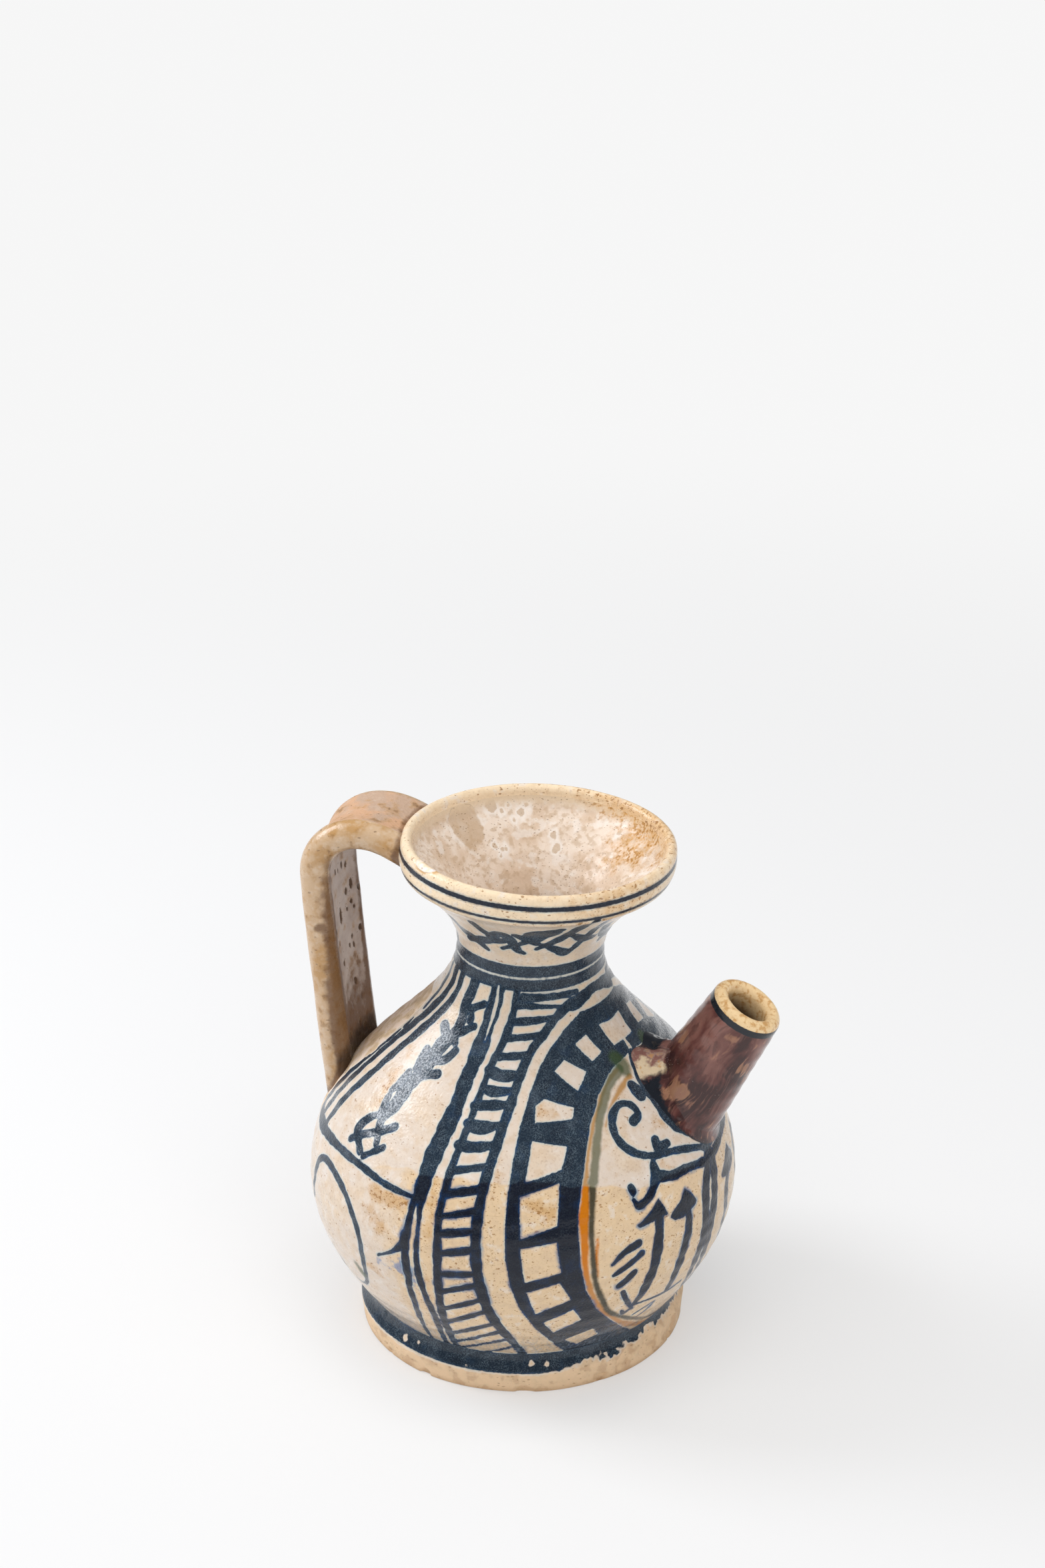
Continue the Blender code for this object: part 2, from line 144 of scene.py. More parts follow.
@dataclass(frozen=True)
class VesselForm:
    """Outline of the thrown vessel and the lean that it took while soft."""

    foot_height: float = 13.0
    foot_waist: float = 48.2
    foot_edge: float = 50.2
    foot_edge_height: float = 7.2
    foot_base: float = 49.0
    foot_base_round: float = 1.6
    foot_flare: float = 13.0
    foot_flare_angle: float = math.radians(53.0)
    floor: float = 7.5
    floor_flat: float = 16.0
    seat_width: float = 8.6
    belly: float = 64.9
    belly_height: float = 51.0
    belly_below: float = 15.0
    belly_above: float = 36.8
    seam_height: float = 68.0
    body_wall: float = 5.0
    body_heel: float = 8.0
    neck_joint: float = 109.0
    throat: float = 21.9
    throat_height: float = 126.0
    throat_below: float = 25.0
    throat_above: float = 10.0
    mouth_wall: float = 4.6
    lip_base: float = 38.2
    lip_base_height: float = 150.0
    funnel_flare: float = 9.0
    funnel_flare_angle: float = math.radians(38.0)
    lip: float = 40.6
    lip_width: float = 3.6
    lip_crown: float = 2.2
    rim_height: float = 160.0
    rim_shift: float = 5.2
    rim_tilt: float = 0.034
    lean_power: int = 3
    arc_samples: int = 300

    @cached_property
    def outline(self) -> Points:
        """The outside from the foot's waist to the lip's lower edge, as radius and height."""
        waist = np.array([self.foot_waist, self.foot_height])
        belly = np.array([self.belly, self.belly_height])
        throat = np.array([self.throat, self.throat_height])
        lip = np.array([self.lip_base, self.lip_base_height])
        up = np.array([0.0, 1.0])
        flare = polar(self.foot_flare, self.foot_flare_angle)
        funnel = polar(self.funnel_flare, self.funnel_flare_angle)
        handles = (
            (waist, waist + flare, belly - up * self.belly_below, belly),
            (belly, belly + up * self.belly_above, throat - up * self.throat_below, throat),
            (throat, throat + up * self.throat_above, lip - funnel, lip),
        )
        arcs = [bezier(*arc, self.arc_samples)[1:] for arc in handles]
        return np.vstack([waist, *arcs])

    @cached_property
    def skin_line(self) -> Points:
        """The whole outside from the table to the top of the rim, as radius and height."""
        foot = np.array([[self.foot_base, 0.0], [self.foot_edge, self.foot_edge_height]])
        return np.vstack([foot, self.outline, self.lip_section(0.5)[:-1]])

    def lip_section(self, share: float) -> Points:
        """Return the lip from its lower edge over its crown, for a share of the crown's turn.

        Args:
            share: 1 for the whole crown, 0.5 to stop at its top.

        Returns:
            Points of radius and height.
        """
        half = 0.5 * self.lip_width
        centre = np.array([self.lip - half, self.rim_height - self.lip_crown])
        turn = np.linspace(0.0, math.pi * share, 24)
        crown = centre + np.column_stack([half * np.cos(turn), self.lip_crown * np.sin(turn)])
        base = np.array([self.lip_base, self.lip_base_height])
        side = np.array([self.lip + 0.1, 0.5 * (self.lip_base_height + centre[1])])
        belly = bezier(base, base + [1.6, 0.3], side - [0.0, 1.6], side, 8)
        return np.vstack([belly[1:], crown])

    def radius(self, height: Points) -> Points:
        """Return the outside radius at each height."""
        return np.interp(height, self.skin_line[:, 1], self.skin_line[:, 0])

    def wall(self, low: float, high: float, inset: float) -> Points:
        """Return the outline between two heights, moved inwards along its normal.

        Args:
            low: Lower height.
            high: Upper height.
            inset: How far the line moves inwards.

        Returns:
            Points of radius and height, from low to high.
        """
        radii, heights = self.outline.T
        inner = self.outline[(heights > low) & (heights < high)]
        ends = [[np.interp(h, heights, radii), h] for h in (low, high)]
        line = np.vstack([ends[:1], inner, ends[1:]])
        along = np.gradient(line, axis=0)
        normal = np.column_stack([along[:, 1], -along[:, 0]])
        return line - inset * normal / np.linalg.norm(normal, axis=1)[:, None]

    def lean_share(self, height: Points) -> Points:
        """Return how much of the rim's lean each height has."""
        return (np.clip(height, 0.0, None) / self.rim_height) ** self.lean_power

    def lean(self, points: Points) -> Points:
        """Carry points of the true turned vessel to where the clay settled."""
        share = self.lean_share(points[:, 2])
        moved = points.copy()
        moved[:, 0] += self.rim_shift * share
        moved[:, 2] -= self.rim_tilt * share * points[:, 0]
        return moved

    def upright(self, points: Points) -> Points:
        """Carry points of the leaned vessel back to the true turned one, in a few rounds."""
        result = points.copy()
        for _ in range(4):
            share = self.lean_share(result[:, 2])
            result[:, 0] = points[:, 0] - self.rim_shift * share
            result[:, 2] = points[:, 2] + self.rim_tilt * share * result[:, 0]
        return result

    def skin(self, turn: Points, height: Points) -> Points:
        """Return points of the turned outside at turns and heights."""
        angle = -np.radians(turn)
        radius = self.radius(height)
        return np.column_stack([radius * np.cos(angle), radius * np.sin(angle), height])


FORM = VesselForm()


class Paint(StrEnum):
    """What the brush carried, or what took the paint away; each is an attribute of the skin."""

    COBALT = "cobalt"
    RESERVE = "reserve"
    OCHRE = "ochre"
    OLIVE = "olive"
    LEAF = "leaf"
    WASH = "wash"
    STAIN = "stain"
    CRACK = "crack"


@dataclass(frozen=True)
class Stroke:
    """One stroke of the brush: the places of turn, height and width that it runs through."""

    knots: tuple[Knot, ...]
    paint: Paint = Paint.COBALT

    def samples(self, spacing: float) -> tuple[Points, Points]:
        """Return the stroke as places on the skin.

        Args:
            spacing: Distance between the places.

        Returns:
            Rows of turn and height, and the half width at each.
        """
        line = self.smooth(np.array(self.knots, float))
        run = run_lengths(FORM.skin(line[:, 0], line[:, 1]))
        line = even(line, spacing, run)
        at = np.linspace(0.0, run[-1], len(line))
        first = line[0, 0] + line[0, 1]
        tremble = 1.0 + 0.07 * np.sin(at * 0.55 + first) + 0.05 * np.sin(at * 1.43 + 2.0 * first)
        return line[:, :2], 0.5 * line[:, 2] * tremble

    @staticmethod
    def smooth(knots: Points) -> Points:
        """Return a smooth line through the knots."""
        padded = np.vstack([2.0 * knots[0] - knots[1], knots, 2.0 * knots[-1] - knots[-2]])
        share = np.linspace(0.0, 1.0, 14, endpoint=False)[:, None]
        spans = []
        for index in range(len(knots) - 1):
            before, start, end, after = padded[index:index + 4]
            spans.append(0.5 * (
                2.0 * start
                + (end - before) * share
                + (2.0 * before - 5.0 * start + 4.0 * end - after) * share**2
                + (3.0 * start - before - 3.0 * end + after) * share**3
            ))
        return np.vstack([*spans, knots[-1:]])


@dataclass(frozen=True)
class Patch:
    """A place filled with paint, or kept free of it, inside an outline of turn and height."""

    knots: tuple[Place, ...]
    paint: Paint = Paint.COBALT

    def samples(self, spacing: float) -> tuple[Points, Points]:
        """Return the outline as places on the skin and its half width of nothing."""
        corners = np.array([*self.knots, self.knots[0]], float)
        share = np.linspace(0.0, 1.0, 5, endpoint=False)[:, None]
        fine = np.vstack([*[a + (b - a) * share for a, b in zip(corners, corners[1:])], corners[-1:]])
        fine = even(fine, spacing, run_lengths(FORM.skin(*fine.T)))
        return fine, np.zeros(len(fine))

    def holds(self, turn: Points, height: Points) -> Points:
        """Return which places lie inside the outline."""
        corners = np.array(self.knots, float)
        inside = np.zeros(len(turn), bool)
        for (turn_a, height_a), (turn_b, height_b) in zip(corners, np.roll(corners, -1, axis=0)):
            if height_a == height_b:
                continue
            between = (height_a > height) != (height_b > height)
            cross = turn_a + (turn_b - turn_a) * (height - height_a) / (height_b - height_a)
            inside ^= between & (turn < cross)
        return inside


Mark = Union[Stroke, Patch]


def strokes(table: Iterable[tuple[Knot, ...]], paint: Paint = Paint.COBALT) -> list[Mark]:
    """Return a table of knots as strokes of one paint."""
    return [Stroke(knots, paint) for knots in table]


@dataclass(frozen=True)
class Band:
    """A band of paint turned right round the vessel on the wheel."""

    low: float
    high: float
    sway: float = 0.25

    def coverage(self, turn: Points, height: Points) -> Points:
        """Return how deep inside the band each place lies, negative outside it."""
        angle = np.radians(turn)
        drift = self.sway * (np.sin(angle + 0.5) + 0.6 * np.sin(3.0 * angle + 1.0))
        return 0.5 * (self.high - self.low) - np.abs(height - 0.5 * (self.low + self.high) - drift)


@dataclass(frozen=True)
class Ornament:
    """The painted ornament: one side as the brush laid it, and its fellow on the far side."""

    axis_heights: tuple[float, ...] = (12.0, 28.0, 40.0, 58.0, 66.0, 72.0, 80.0, 95.0, 106.0, 120.0)
    axis_turns: tuple[float, ...] = (9.0, 14.0, 16.0, 14.0, 10.0, 6.0, 7.0, 13.0, 17.0, 18.0)
    bands: tuple[Band, ...] = (
        Band(155.8, 157.2), Band(151.8, 152.7), Band(124.9, 128.7), Band(120.6, 124.2),
        Band(6.8, 12.6, sway=0.4),
    )
    spacing: float = 0.4
    braid_repeat: float = 104.0
    braid_repeats: int = 3
    braid_weight: float = 0.78
    crack_width: float = 0.3
    batch: int = 4000

    def far_side(self, mark: Mark) -> Mark:
        """Return the mark's fellow across the ornament's own axis, which bends with the height."""
        knots = []
        for turn, height, *width in mark.knots:
            axis = float(np.interp(height, self.axis_heights, self.axis_turns))
            knots.append((2.0 * axis * (1.0 - abs(turn) / 180.0) - turn, height, *width))
        return replace(mark, knots=tuple(knots))

    def braid(self) -> list[Mark]:
        """Return the braid of crossing strokes round the neck, which repeats along it."""
        unit = (
            ((131.5, 143, 4.5), (126, 138, 4.5), (117, 136.5, 5), (110, 134.5, 3.5), (105.5, 133, 2)),
            ((121.5, 134.5, 3), (105, 137, 4.5), (92.5, 138.5, 4.5)),
            ((105.5, 145.5, 4), (103.5, 142, 4), (98, 140, 4)),
            ((99.5, 139.5, 3.8), (92, 142, 5), (87.5, 140.5, 5.4), (83, 135.5, 3.4), (78, 134, 2)),
            ((93, 135, 1.9), (80.5, 138, 2.8), (72.5, 141, 4)),
            ((82.5, 142.5, 4), (76.5, 140.5, 3.6), (70, 138.5, 3.4)),
            ((76.5, 141.5, 5.5), (71, 143.5, 9), (65, 144.5, 8), (60, 146.5, 4.4)),
            ((69.5, 136, 2.2), (63, 138, 3.4), (55, 141.5, 5), (50, 146.5, 5.4), (47, 151, 3.4)),
            ((67, 138, 2.6), (57, 135.5, 3.6), (48.5, 133.5, 4), (43.5, 134.5, 2.8)),
            ((44, 134, 2.2), (40.5, 136.5, 3.6), (37, 140.5, 4.4), (36, 148, 3.6)),
            ((50.5, 142, 3.2), (39, 138.5, 4.4), (29.5, 137.5, 3.4)),
        )
        blob = ((78, 139.5), (75, 145.5), (63, 147), (61, 143.5), (69, 139))
        rule = ((143, 150, 2.5), (146, 138, 2.5), (148, 129, 2.5))
        marks = [Stroke(rule), self.far_side(Stroke(rule))]
        for back in self.braid_repeat * np.arange(self.braid_repeats):
            marks.append(Patch(tuple((turn - back, height) for turn, height in blob)))
            for knots in unit:
                placed = [(turn - back, height, self.braid_weight * width) for turn, height, width in knots]
                marks.append(Stroke(tuple(placed)))
        return marks

    def shoulder_panel(self) -> list[Mark]:
        """Return the panel beside the handle: its rules, its closing curve and its leafy spray."""
        rules = (
            ((156, 119.5, 2.2), (153.5, 112.5, 1.9), (153.5, 106, 1.4)), ((154, 102.5, 0.9), (154, 100, 2)),
            ((154.5, 98.5, 1), (155.5, 95, 2.2)),
            ((155.5, 94, 1.4), (158, 87, 2.4), (161, 79, 3), (163.5, 69, 3)),
            ((144, 120.5, 3), (142.5, 114.5, 2.8), (147, 106, 3.6), (151, 98, 3.1), (153, 90, 2.7),
             (155.5, 81, 3), (157.5, 70.5, 2.8)),
            ((132.5, 120.5, 2.6), (132.5, 113.5, 2.7), (138.5, 104.5, 3.6), (143, 96.5, 3.2),
             (145.5, 89, 3.2), (149, 80, 3.2), (151, 70.5, 2.8)),
            ((172, 75, 3), (165, 70.5, 4), (159, 68.5, 4), (150, 69, 3.6), (141.5, 70, 2.9),
             (132.5, 70.5, 2.6), (123, 70.5, 2.4), (113, 69.5, 2.1), (103, 69, 1.4)),
        )
        spray = (
            ((117, 120, 4), (118.5, 114.5, 3.7), (116, 109.5, 3.6), (116.5, 106, 4), (120, 103, 5.4),
             (121, 98, 5.4), (123, 91.5, 5), (123.5, 86.5, 4.6), (125, 83, 3.2), (122, 77.5, 2.3)),
            ((116, 112.5, 2.8), (104.5, 115.5, 2.4)), ((112, 113, 2.4), (110, 110.5, 2.2)),
            ((115.5, 106.5, 3.2), (106, 109.5, 2.5)), ((115, 106, 2.3), (112.5, 104.5, 2)),
            ((120, 105, 3.2), (126.5, 107, 2.9)), ((119, 99, 2.7), (113.5, 100.5, 2.8), (110.5, 103, 2.4)),
            ((121, 95.5, 4), (113.5, 97, 3.2)), ((127.5, 94.5, 2.4), (127.5, 92, 3.2), (129, 89.5, 2.4)),
            ((128.5, 88, 2.5), (127.5, 85, 3.3)),
            ((126, 84.5, 2.3), (131, 81, 3), (132.5, 77.5, 3.4), (129, 75, 2.8), (127, 73.5, 2.4)),
            ((133.5, 74.5, 2.2), (129, 77.5, 2.8), (123, 80.5, 2.5), (118.5, 83, 2.9)),
            ((125, 73, 2.1), (119, 77.5, 2.2)), ((127, 100.5, 2.6), (125.5, 96, 2.2)),
        )
        return strokes(rules + spray)

    def lower_panel(self) -> list[Mark]:
        """Return the panel under the shoulder: the loop, the thorn, the paired rules and a blue smear."""
        lines = (
            ((149, 48, 2.6), (147.5, 55, 2.6), (146, 61, 2.6), (141.5, 64, 2.2), (134, 63.5, 2.4),
             (126.5, 60, 2.4), (120.5, 52, 2.3), (119.5, 42.5, 2.1), (121.5, 33.5, 1.6), (125.5, 29, 1.4),
             (132.5, 28.5, 1.4), (140, 35, 1.4)),
            ((103, 69, 2.2), (103.5, 61, 2.4), (104, 54.5, 3.2), (103.5, 48.5, 2.3), (103.5, 40, 2.2),
             (103.5, 31, 2.2), (106.5, 12, 1.5)),
            ((101, 69, 2.2), (100.5, 61.5, 1.4), (100.5, 53.5, 1.9), (100, 46, 2.5), (99, 39, 2.2),
             (98, 27.5, 2.3), (100, 13, 1.9)),
            ((113, 47.5, 0.9), (108, 51, 1.3), (105, 54.5, 2.6), (104.5, 58.5, 2.2)),
            ((104, 52, 2.6), (103.5, 46.5, 2.8), (103, 41.5, 2)),
        )
        smears = (
            ((104.5, 51, 5), (103.5, 45.5, 6.5), (102, 40.5, 3)), ((112.5, 46, 2.5), (106, 45.5, 5)),
        )
        sprig = ((124, 38, 2), (122, 35, 2.4))
        return [*strokes(lines), *strokes(smears, Paint.WASH), Stroke(sprig, Paint.LEAF)]

    def ladder(self) -> list[Mark]:
        """Return the broad slanted band, the ladder beside it and its rungs."""
        band = (
            (96, 121.5, 4.6), (97.5, 110.5, 4.3), (98, 104, 5.1), (99, 98, 4.5), (99, 92, 4.8),
            (100, 85.5, 5.6), (101, 79.5, 5.3), (101.5, 72.5, 4.9), (101.5, 69, 3.7),
        )
        slit = ((96, 121.5, 0.7), (95.5, 116.5, 1.1), (96, 111.5, 0.9), (96.5, 107, 0.3))
        left = (
            (81.5, 121, 2), (82.5, 114.5, 2.2), (85.5, 108, 2.4), (89.5, 101.5, 2.1), (92, 90, 2.1),
            (94, 79, 2.4), (94.5, 73, 2.5), (95, 66, 2.3), (94.5, 55, 2.8), (94.5, 42, 2.7),
            (95, 32.5, 2.7), (96, 13, 2.6),
        )
        right = (
            (-7, 115.5, 3.6), (18.5, 118, 3), (45.5, 115.5, 2.9), (64, 109, 2.6), (73.5, 102.5, 2.7),
            (79.5, 90.5, 2.9), (83, 78.5, 3.1), (84, 72, 3.1), (84.5, 63, 3.3), (84, 53, 3.4),
            (82.5, 42.5, 3.5), (80, 32.5, 3.3), (72, 13, 2.8),
        )
        rungs = (
            ((76.5, 119, 2.7), (35.5, 119, 1.8)), ((79, 117, 2.4), (49, 116, 0.9)),
            ((81, 112.5, 2.8), (54.5, 113.5, 1.8)), ((83.5, 108.5, 2.5), (63, 109.5, 1.8)),
            ((88, 104, 2.8), (70.5, 105, 2)), ((90, 101, 2.8), (84, 100, 4.1), (75, 100.5, 2.2)),
            ((90.5, 97, 2.4), (85.5, 96.5, 3.4), (78, 97, 2)),
            ((92, 93, 2.8), (86, 93.5, 3.5), (79, 94, 2)),
            ((93, 89, 2.5), (88, 88.5, 4.1), (81, 89.5, 2.2)),
            ((94, 84, 2.7), (89, 84, 3.6), (82.5, 85, 2.3)), ((93.5, 78, 2.4), (84, 80, 2.2)),
            ((94.5, 72, 2.9), (84.5, 74.5, 2.6)), ((94.5, 66, 1.9), (84.5, 69, 2.4)),
            ((94.5, 61, 2.7), (84.5, 63.5, 2.4)), ((94, 55, 2.3), (84.5, 58, 2.6)),
            ((94.5, 48, 2.3), (84.5, 50, 2.3)), ((94, 41.5, 2.1), (83.5, 46.5, 2.1)),
            ((94.5, 34, 2), (82.5, 41, 2)), ((94.5, 27.5, 2), (82, 36, 2)),
            ((95, 21, 1.9), (80, 30.5, 1.9)), ((95, 16, 1.6), (78.5, 26.5, 1.8)),
            ((93.5, 13, 1.2), (77, 22, 1.8)), ((86, 12, 1), (74.5, 17.5, 1.6)),
        )
        return [*strokes((band, left, right, *rungs)), Stroke(slit, Paint.RESERVE)]

    def chequer(self) -> list[Mark]:
        """Return the dark horseshoe round the spout and the windows kept free in it."""
        horseshoe = (
            (15, 113.5), (36, 113.4), (50, 110), (60, 106), (65.7, 102.4), (70.5, 96.7), (74, 89.5),
            (75.6, 82), (76.6, 74), (77, 65.6), (76.6, 55.8), (75.3, 47), (72.8, 37.7), (68, 27.8),
            (61, 17), (57, 12.5), (29, 12.5), (37, 18.5), (45.5, 27), (51.5, 34.5), (55.5, 43.5),
            (57.2, 52.5), (57.6, 62.5), (57.4, 67.5), (55.6, 75), (52.6, 82.5), (49, 88.5), (42.5, 94),
            (34, 97.8), (28, 99), (15, 100),
        )
        windows = (
            ((25.7, 108.8), (12, 108.2), (10.1, 103.1), (22.7, 103)),
            ((45.2, 106.2), (36.9, 107.7), (31.6, 102.8), (38.9, 101.5)),
            ((58.9, 101), (53.3, 103.3), (43.7, 99.7), (50.2, 96.1)),
            ((68.4, 93.8), (64.8, 95.3), (53.4, 92.8), (54.9, 90.3), (68.6, 90.2)),
            ((69.8, 86.3), (58.3, 84.6), (60.8, 79.5), (71.8, 76.8)),
            ((73.2, 73.2), (61.9, 76.4), (63.2, 65.3), (72.9, 61.9)),
            ((72.9, 59), (63.5, 60.6), (62.3, 51), (71.6, 48.1)),
            ((71.1, 44.5), (62.6, 47.5), (59.3, 40.7), (68.6, 35.5)),
            ((66.3, 31.1), (58.3, 36.2), (55.3, 30.7), (62.9, 25.3)),
            ((58.5, 20.2), (50.3, 24.4), (47.5, 20), (53.5, 15.8)),
        )
        return [Patch(horseshoe), *[Patch(knots, Paint.RESERVE) for knots in windows]]

    def medallion(self) -> list[Mark]:
        """Return the medallion under the spout: its rules, leaf, scroll, arrows and tendrils."""
        ochre = (
            ((28, 98, 0.8), (35.5, 97, 2.8), (43.2, 93.5, 3.1), (49.3, 88, 3), (52.9, 82.5, 3),
             (55.3, 76, 3.2)),
            ((55, 74.5, 3.4), (56, 67.5, 3.4), (56, 62.5, 2.6), (56, 52.5, 1.8), (54.5, 43.5, 2.1),
             (50, 33.5, 2.3), (41, 23.5, 2.4), (27, 15, 2.4), (14.5, 12, 1.9)),
            ((24, 95.5, 1.8), (31, 94, 1.6), (38, 91.5, 1.2), (43.5, 87.5, 0.6)),
            ((52.5, 60, 0.6), (53, 54, 0.9), (52.5, 48, 0.6)),
        )
        olive = (
            ((27.5, 98, 3.3), (36, 95.5, 2.7), (43.5, 90.5, 2.4), (47.5, 85.5, 2.2), (50, 80.5, 2.4),
             (52, 75.5, 2.6)),
            ((52.5, 74, 1.9), (54, 64, 1.5), (54, 56.5, 1.4), (53, 46, 1.5), (50, 37.5, 1.6),
             (46.5, 31, 1.6), (37.5, 24, 1.4), (26, 17.5, 1.3), (14.5, 14, 1.1)),
        )
        leaf = ((26, 100.5, 3.6), (24.5, 99, 4.4), (24.5, 97, 3.6))
        scroll = (
            ((25.5, 93.5, 3.6), (24, 91, 4.2)),
            ((15, 99.5, 2.6), (17, 97, 4.2), (18.5, 93.5, 5), (18, 88.5, 5.6), (17, 83.5, 6), (13.5, 79, 5),
             (5, 74.5, 3.4)),
            ((32.5, 86.5, 3.5), (29.3, 87.5, 2.2), (30.5, 90, 2.4), (35, 91, 2.3), (39, 89.5, 2.5),
             (41, 87, 2.6), (40.5, 83.5, 2.6), (37, 80, 2.5), (31, 77.5, 2.2), (22.5, 76, 2.4),
             (14, 73.5, 2.2), (8, 71, 2.4)),
            ((27.5, 80.5, 2.8), (27.5, 78.5, 3.6), (23.5, 78.5, 2.8)),
            ((31, 72, 3.8), (26, 70.5, 3.3), (19.5, 70, 2.7), (10.5, 68, 2.8)),
            ((31.5, 75.5, 2.4), (32, 72.5, 3.7), (34, 69.5, 3.1), (36.5, 67.5, 2.8), (39.5, 66.5, 2.4),
             (41, 68.5, 1.3)),
            ((41, 72, 2.4), (40.5, 70.5, 2.2)),
        )
        heads = (
            ((33, 66.5), (31.5, 63.5), (30.5, 60.5), (32.5, 61), (36, 60.5), (40, 60), (41, 61),
             (38.5, 62.5), (36, 64)),
            ((23, 65.5), (21, 63.5), (19, 60), (20, 59), (25, 57.5), (28.5, 58), (30, 59.5), (29, 61),
             (25.5, 63)),
        )
        tendrils = (
            ((33.5, 62.5, 3), (34.5, 54.5, 3.7), (35.5, 45.5, 3.8), (36.5, 41, 3.7), (37.5, 36, 3.4),
             (39, 32, 1.8)),
            ((23.3, 61, 3), (23.3, 53.5, 3.4), (24.5, 47.5, 3.6), (25.5, 41.5, 3.6), (26.5, 32, 2.6)),
            ((4, 74.5, 3.6), (9.5, 68, 3.8), (14.5, 60, 4.2), (15.5, 47.5, 4.2), (16.5, 39.5, 3.8),
             (15.5, 30, 3), (11, 16, 2)),
            ((41, 55.5, 2.9), (45, 54, 2.4), (48.5, 51, 1.1)),
            ((40, 52, 2.5), (43.5, 49.5, 2.2), (48, 47, 1.4)),
            ((42, 46, 2.5), (44, 44, 2.7), (46, 42.5, 2.2)),
            ((44.5, 39.5, 1.7), (42.5, 35, 1.8), (39, 29.5, 1)),
            ((40, 30, 0.9), (41.5, 28.5, 1.6), (43, 30.5, 0.9)),
            ((39.5, 31.5, 0.9), (33.5, 31, 1), (25.5, 30.5, 1.1), (20, 31, 1)),
            ((37, 25.5, 0.9), (33.5, 27, 1), (30, 28, 1), (31, 25.5, 1), (34, 23, 0.9)),
        )
        return [
            *strokes(ochre, Paint.OCHRE),
            *strokes(olive, Paint.OLIVE),
            Stroke(leaf, Paint.LEAF),
            *strokes(scroll + tendrils),
            *[Patch(knots) for knots in heads],
        ]

    def wear(self) -> list[Mark]:
        """Return the rusty stains that came up through the glaze and the hairline cracks in it."""
        stains = (
            ((116, 66, 7), (105, 67.5, 8)), ((118, 61, 4), (112, 57, 6)), ((71, 72, 5), (65, 69, 6)),
            ((98, 76, 3), (97, 60, 4)), ((97.5, 46, 2), (97.5, 36, 2)), ((104, 120, 2), (104, 112, 2)),
            ((24, 84.5, 3.5), (20, 82, 3.5)), ((66, 92.5, 4), (60, 92, 3)), ((133, 93, 6), (130, 85, 5)),
            ((137, 99, 3), (134, 97, 3)), ((80.5, 81, 3), (80, 78, 3)), ((28, 74, 2.5), (24, 71, 3)),
            ((90, 33, 2), (86, 36, 2)), ((120, 42, 4), (113, 40, 3)),
        )
        cracks = (
            ((125, 71), (105.6, 77.4), (88.8, 76.1), (73.3, 77.2), (59.8, 76.1), (49.3, 73.5), (38, 71),
             (12, 70)),
            ((138, 78), (129, 79), (121, 76.5), (113, 74.5), (106, 75)), ((36, 83), (33, 77), (34, 71)),
            ((25, 84), (26, 80), (24, 74), (27, 68)), ((96, 44), (80, 43), (62, 48)),
            ((148, 62), (140, 45), (128, 36), (120, 26)), ((52, 58), (44, 52), (47, 40)),
        )
        hairlines = [tuple((*place, self.crack_width) for place in places) for places in cracks]
        return [*strokes(stains, Paint.STAIN), *strokes(hairlines, Paint.CRACK)]

    def marks(self) -> list[Mark]:
        """Return every mark on both sides of the vessel, with the one stroke across the spout's saddle."""
        near = [
            *self.shoulder_panel(), *self.lower_panel(), *self.ladder(),
            *self.chequer(), *self.medallion(), *self.wear(),
        ]
        saddle = ((3, 101.5, 5), (-12, 97.5, 7), (-26, 92.5, 7), (-33, 89, 4))
        return [*near, *[self.far_side(mark) for mark in near], *self.braid(), Stroke(saddle)]

    def coverage(self, turn: Points, height: Points) -> dict[Paint, Points]:
        """Measure how deep inside each paint the places of a skin lie.

        Args:
            turn: Turn of each place.
            height: Height of each place.

        Returns:
            For each paint, the depth in millimetres, negative outside.
        """
        depths = {paint: np.full(len(turn), -REACH) for paint in Paint}
        skin = FORM.skin(turn, height)
        for band in self.bands:
            depths[Paint.COBALT] = np.maximum(depths[Paint.COBALT], band.coverage(turn, height))
        for mark in self.marks():
            places, half = mark.samples(self.spacing)
            line = FORM.skin(*places.T)
            margin = REACH + half.max()
            inside = ((skin > line.min(axis=0) - margin) & (skin < line.max(axis=0) + margin)).all(axis=1)
            near = np.flatnonzero(inside)
            for part in np.array_split(near, max(1, len(near) // self.batch)):
                gap = np.linalg.norm(skin[part][:, None, :] - line[None, :, :], axis=2)
                depth = (half[None, :] - gap).max(axis=1, initial=-4.0 * REACH)
                if isinstance(mark, Patch):
                    depth = np.where(mark.holds(turn[part], height[part]), -depth, depth)
                depths[mark.paint][part] = np.maximum(depths[mark.paint][part], depth)
        depths[Paint.COBALT] = np.minimum(depths[Paint.COBALT], -depths[Paint.RESERVE])
        return depths


Value = Union["Wire", float, int, bool, Sequence[float], str]


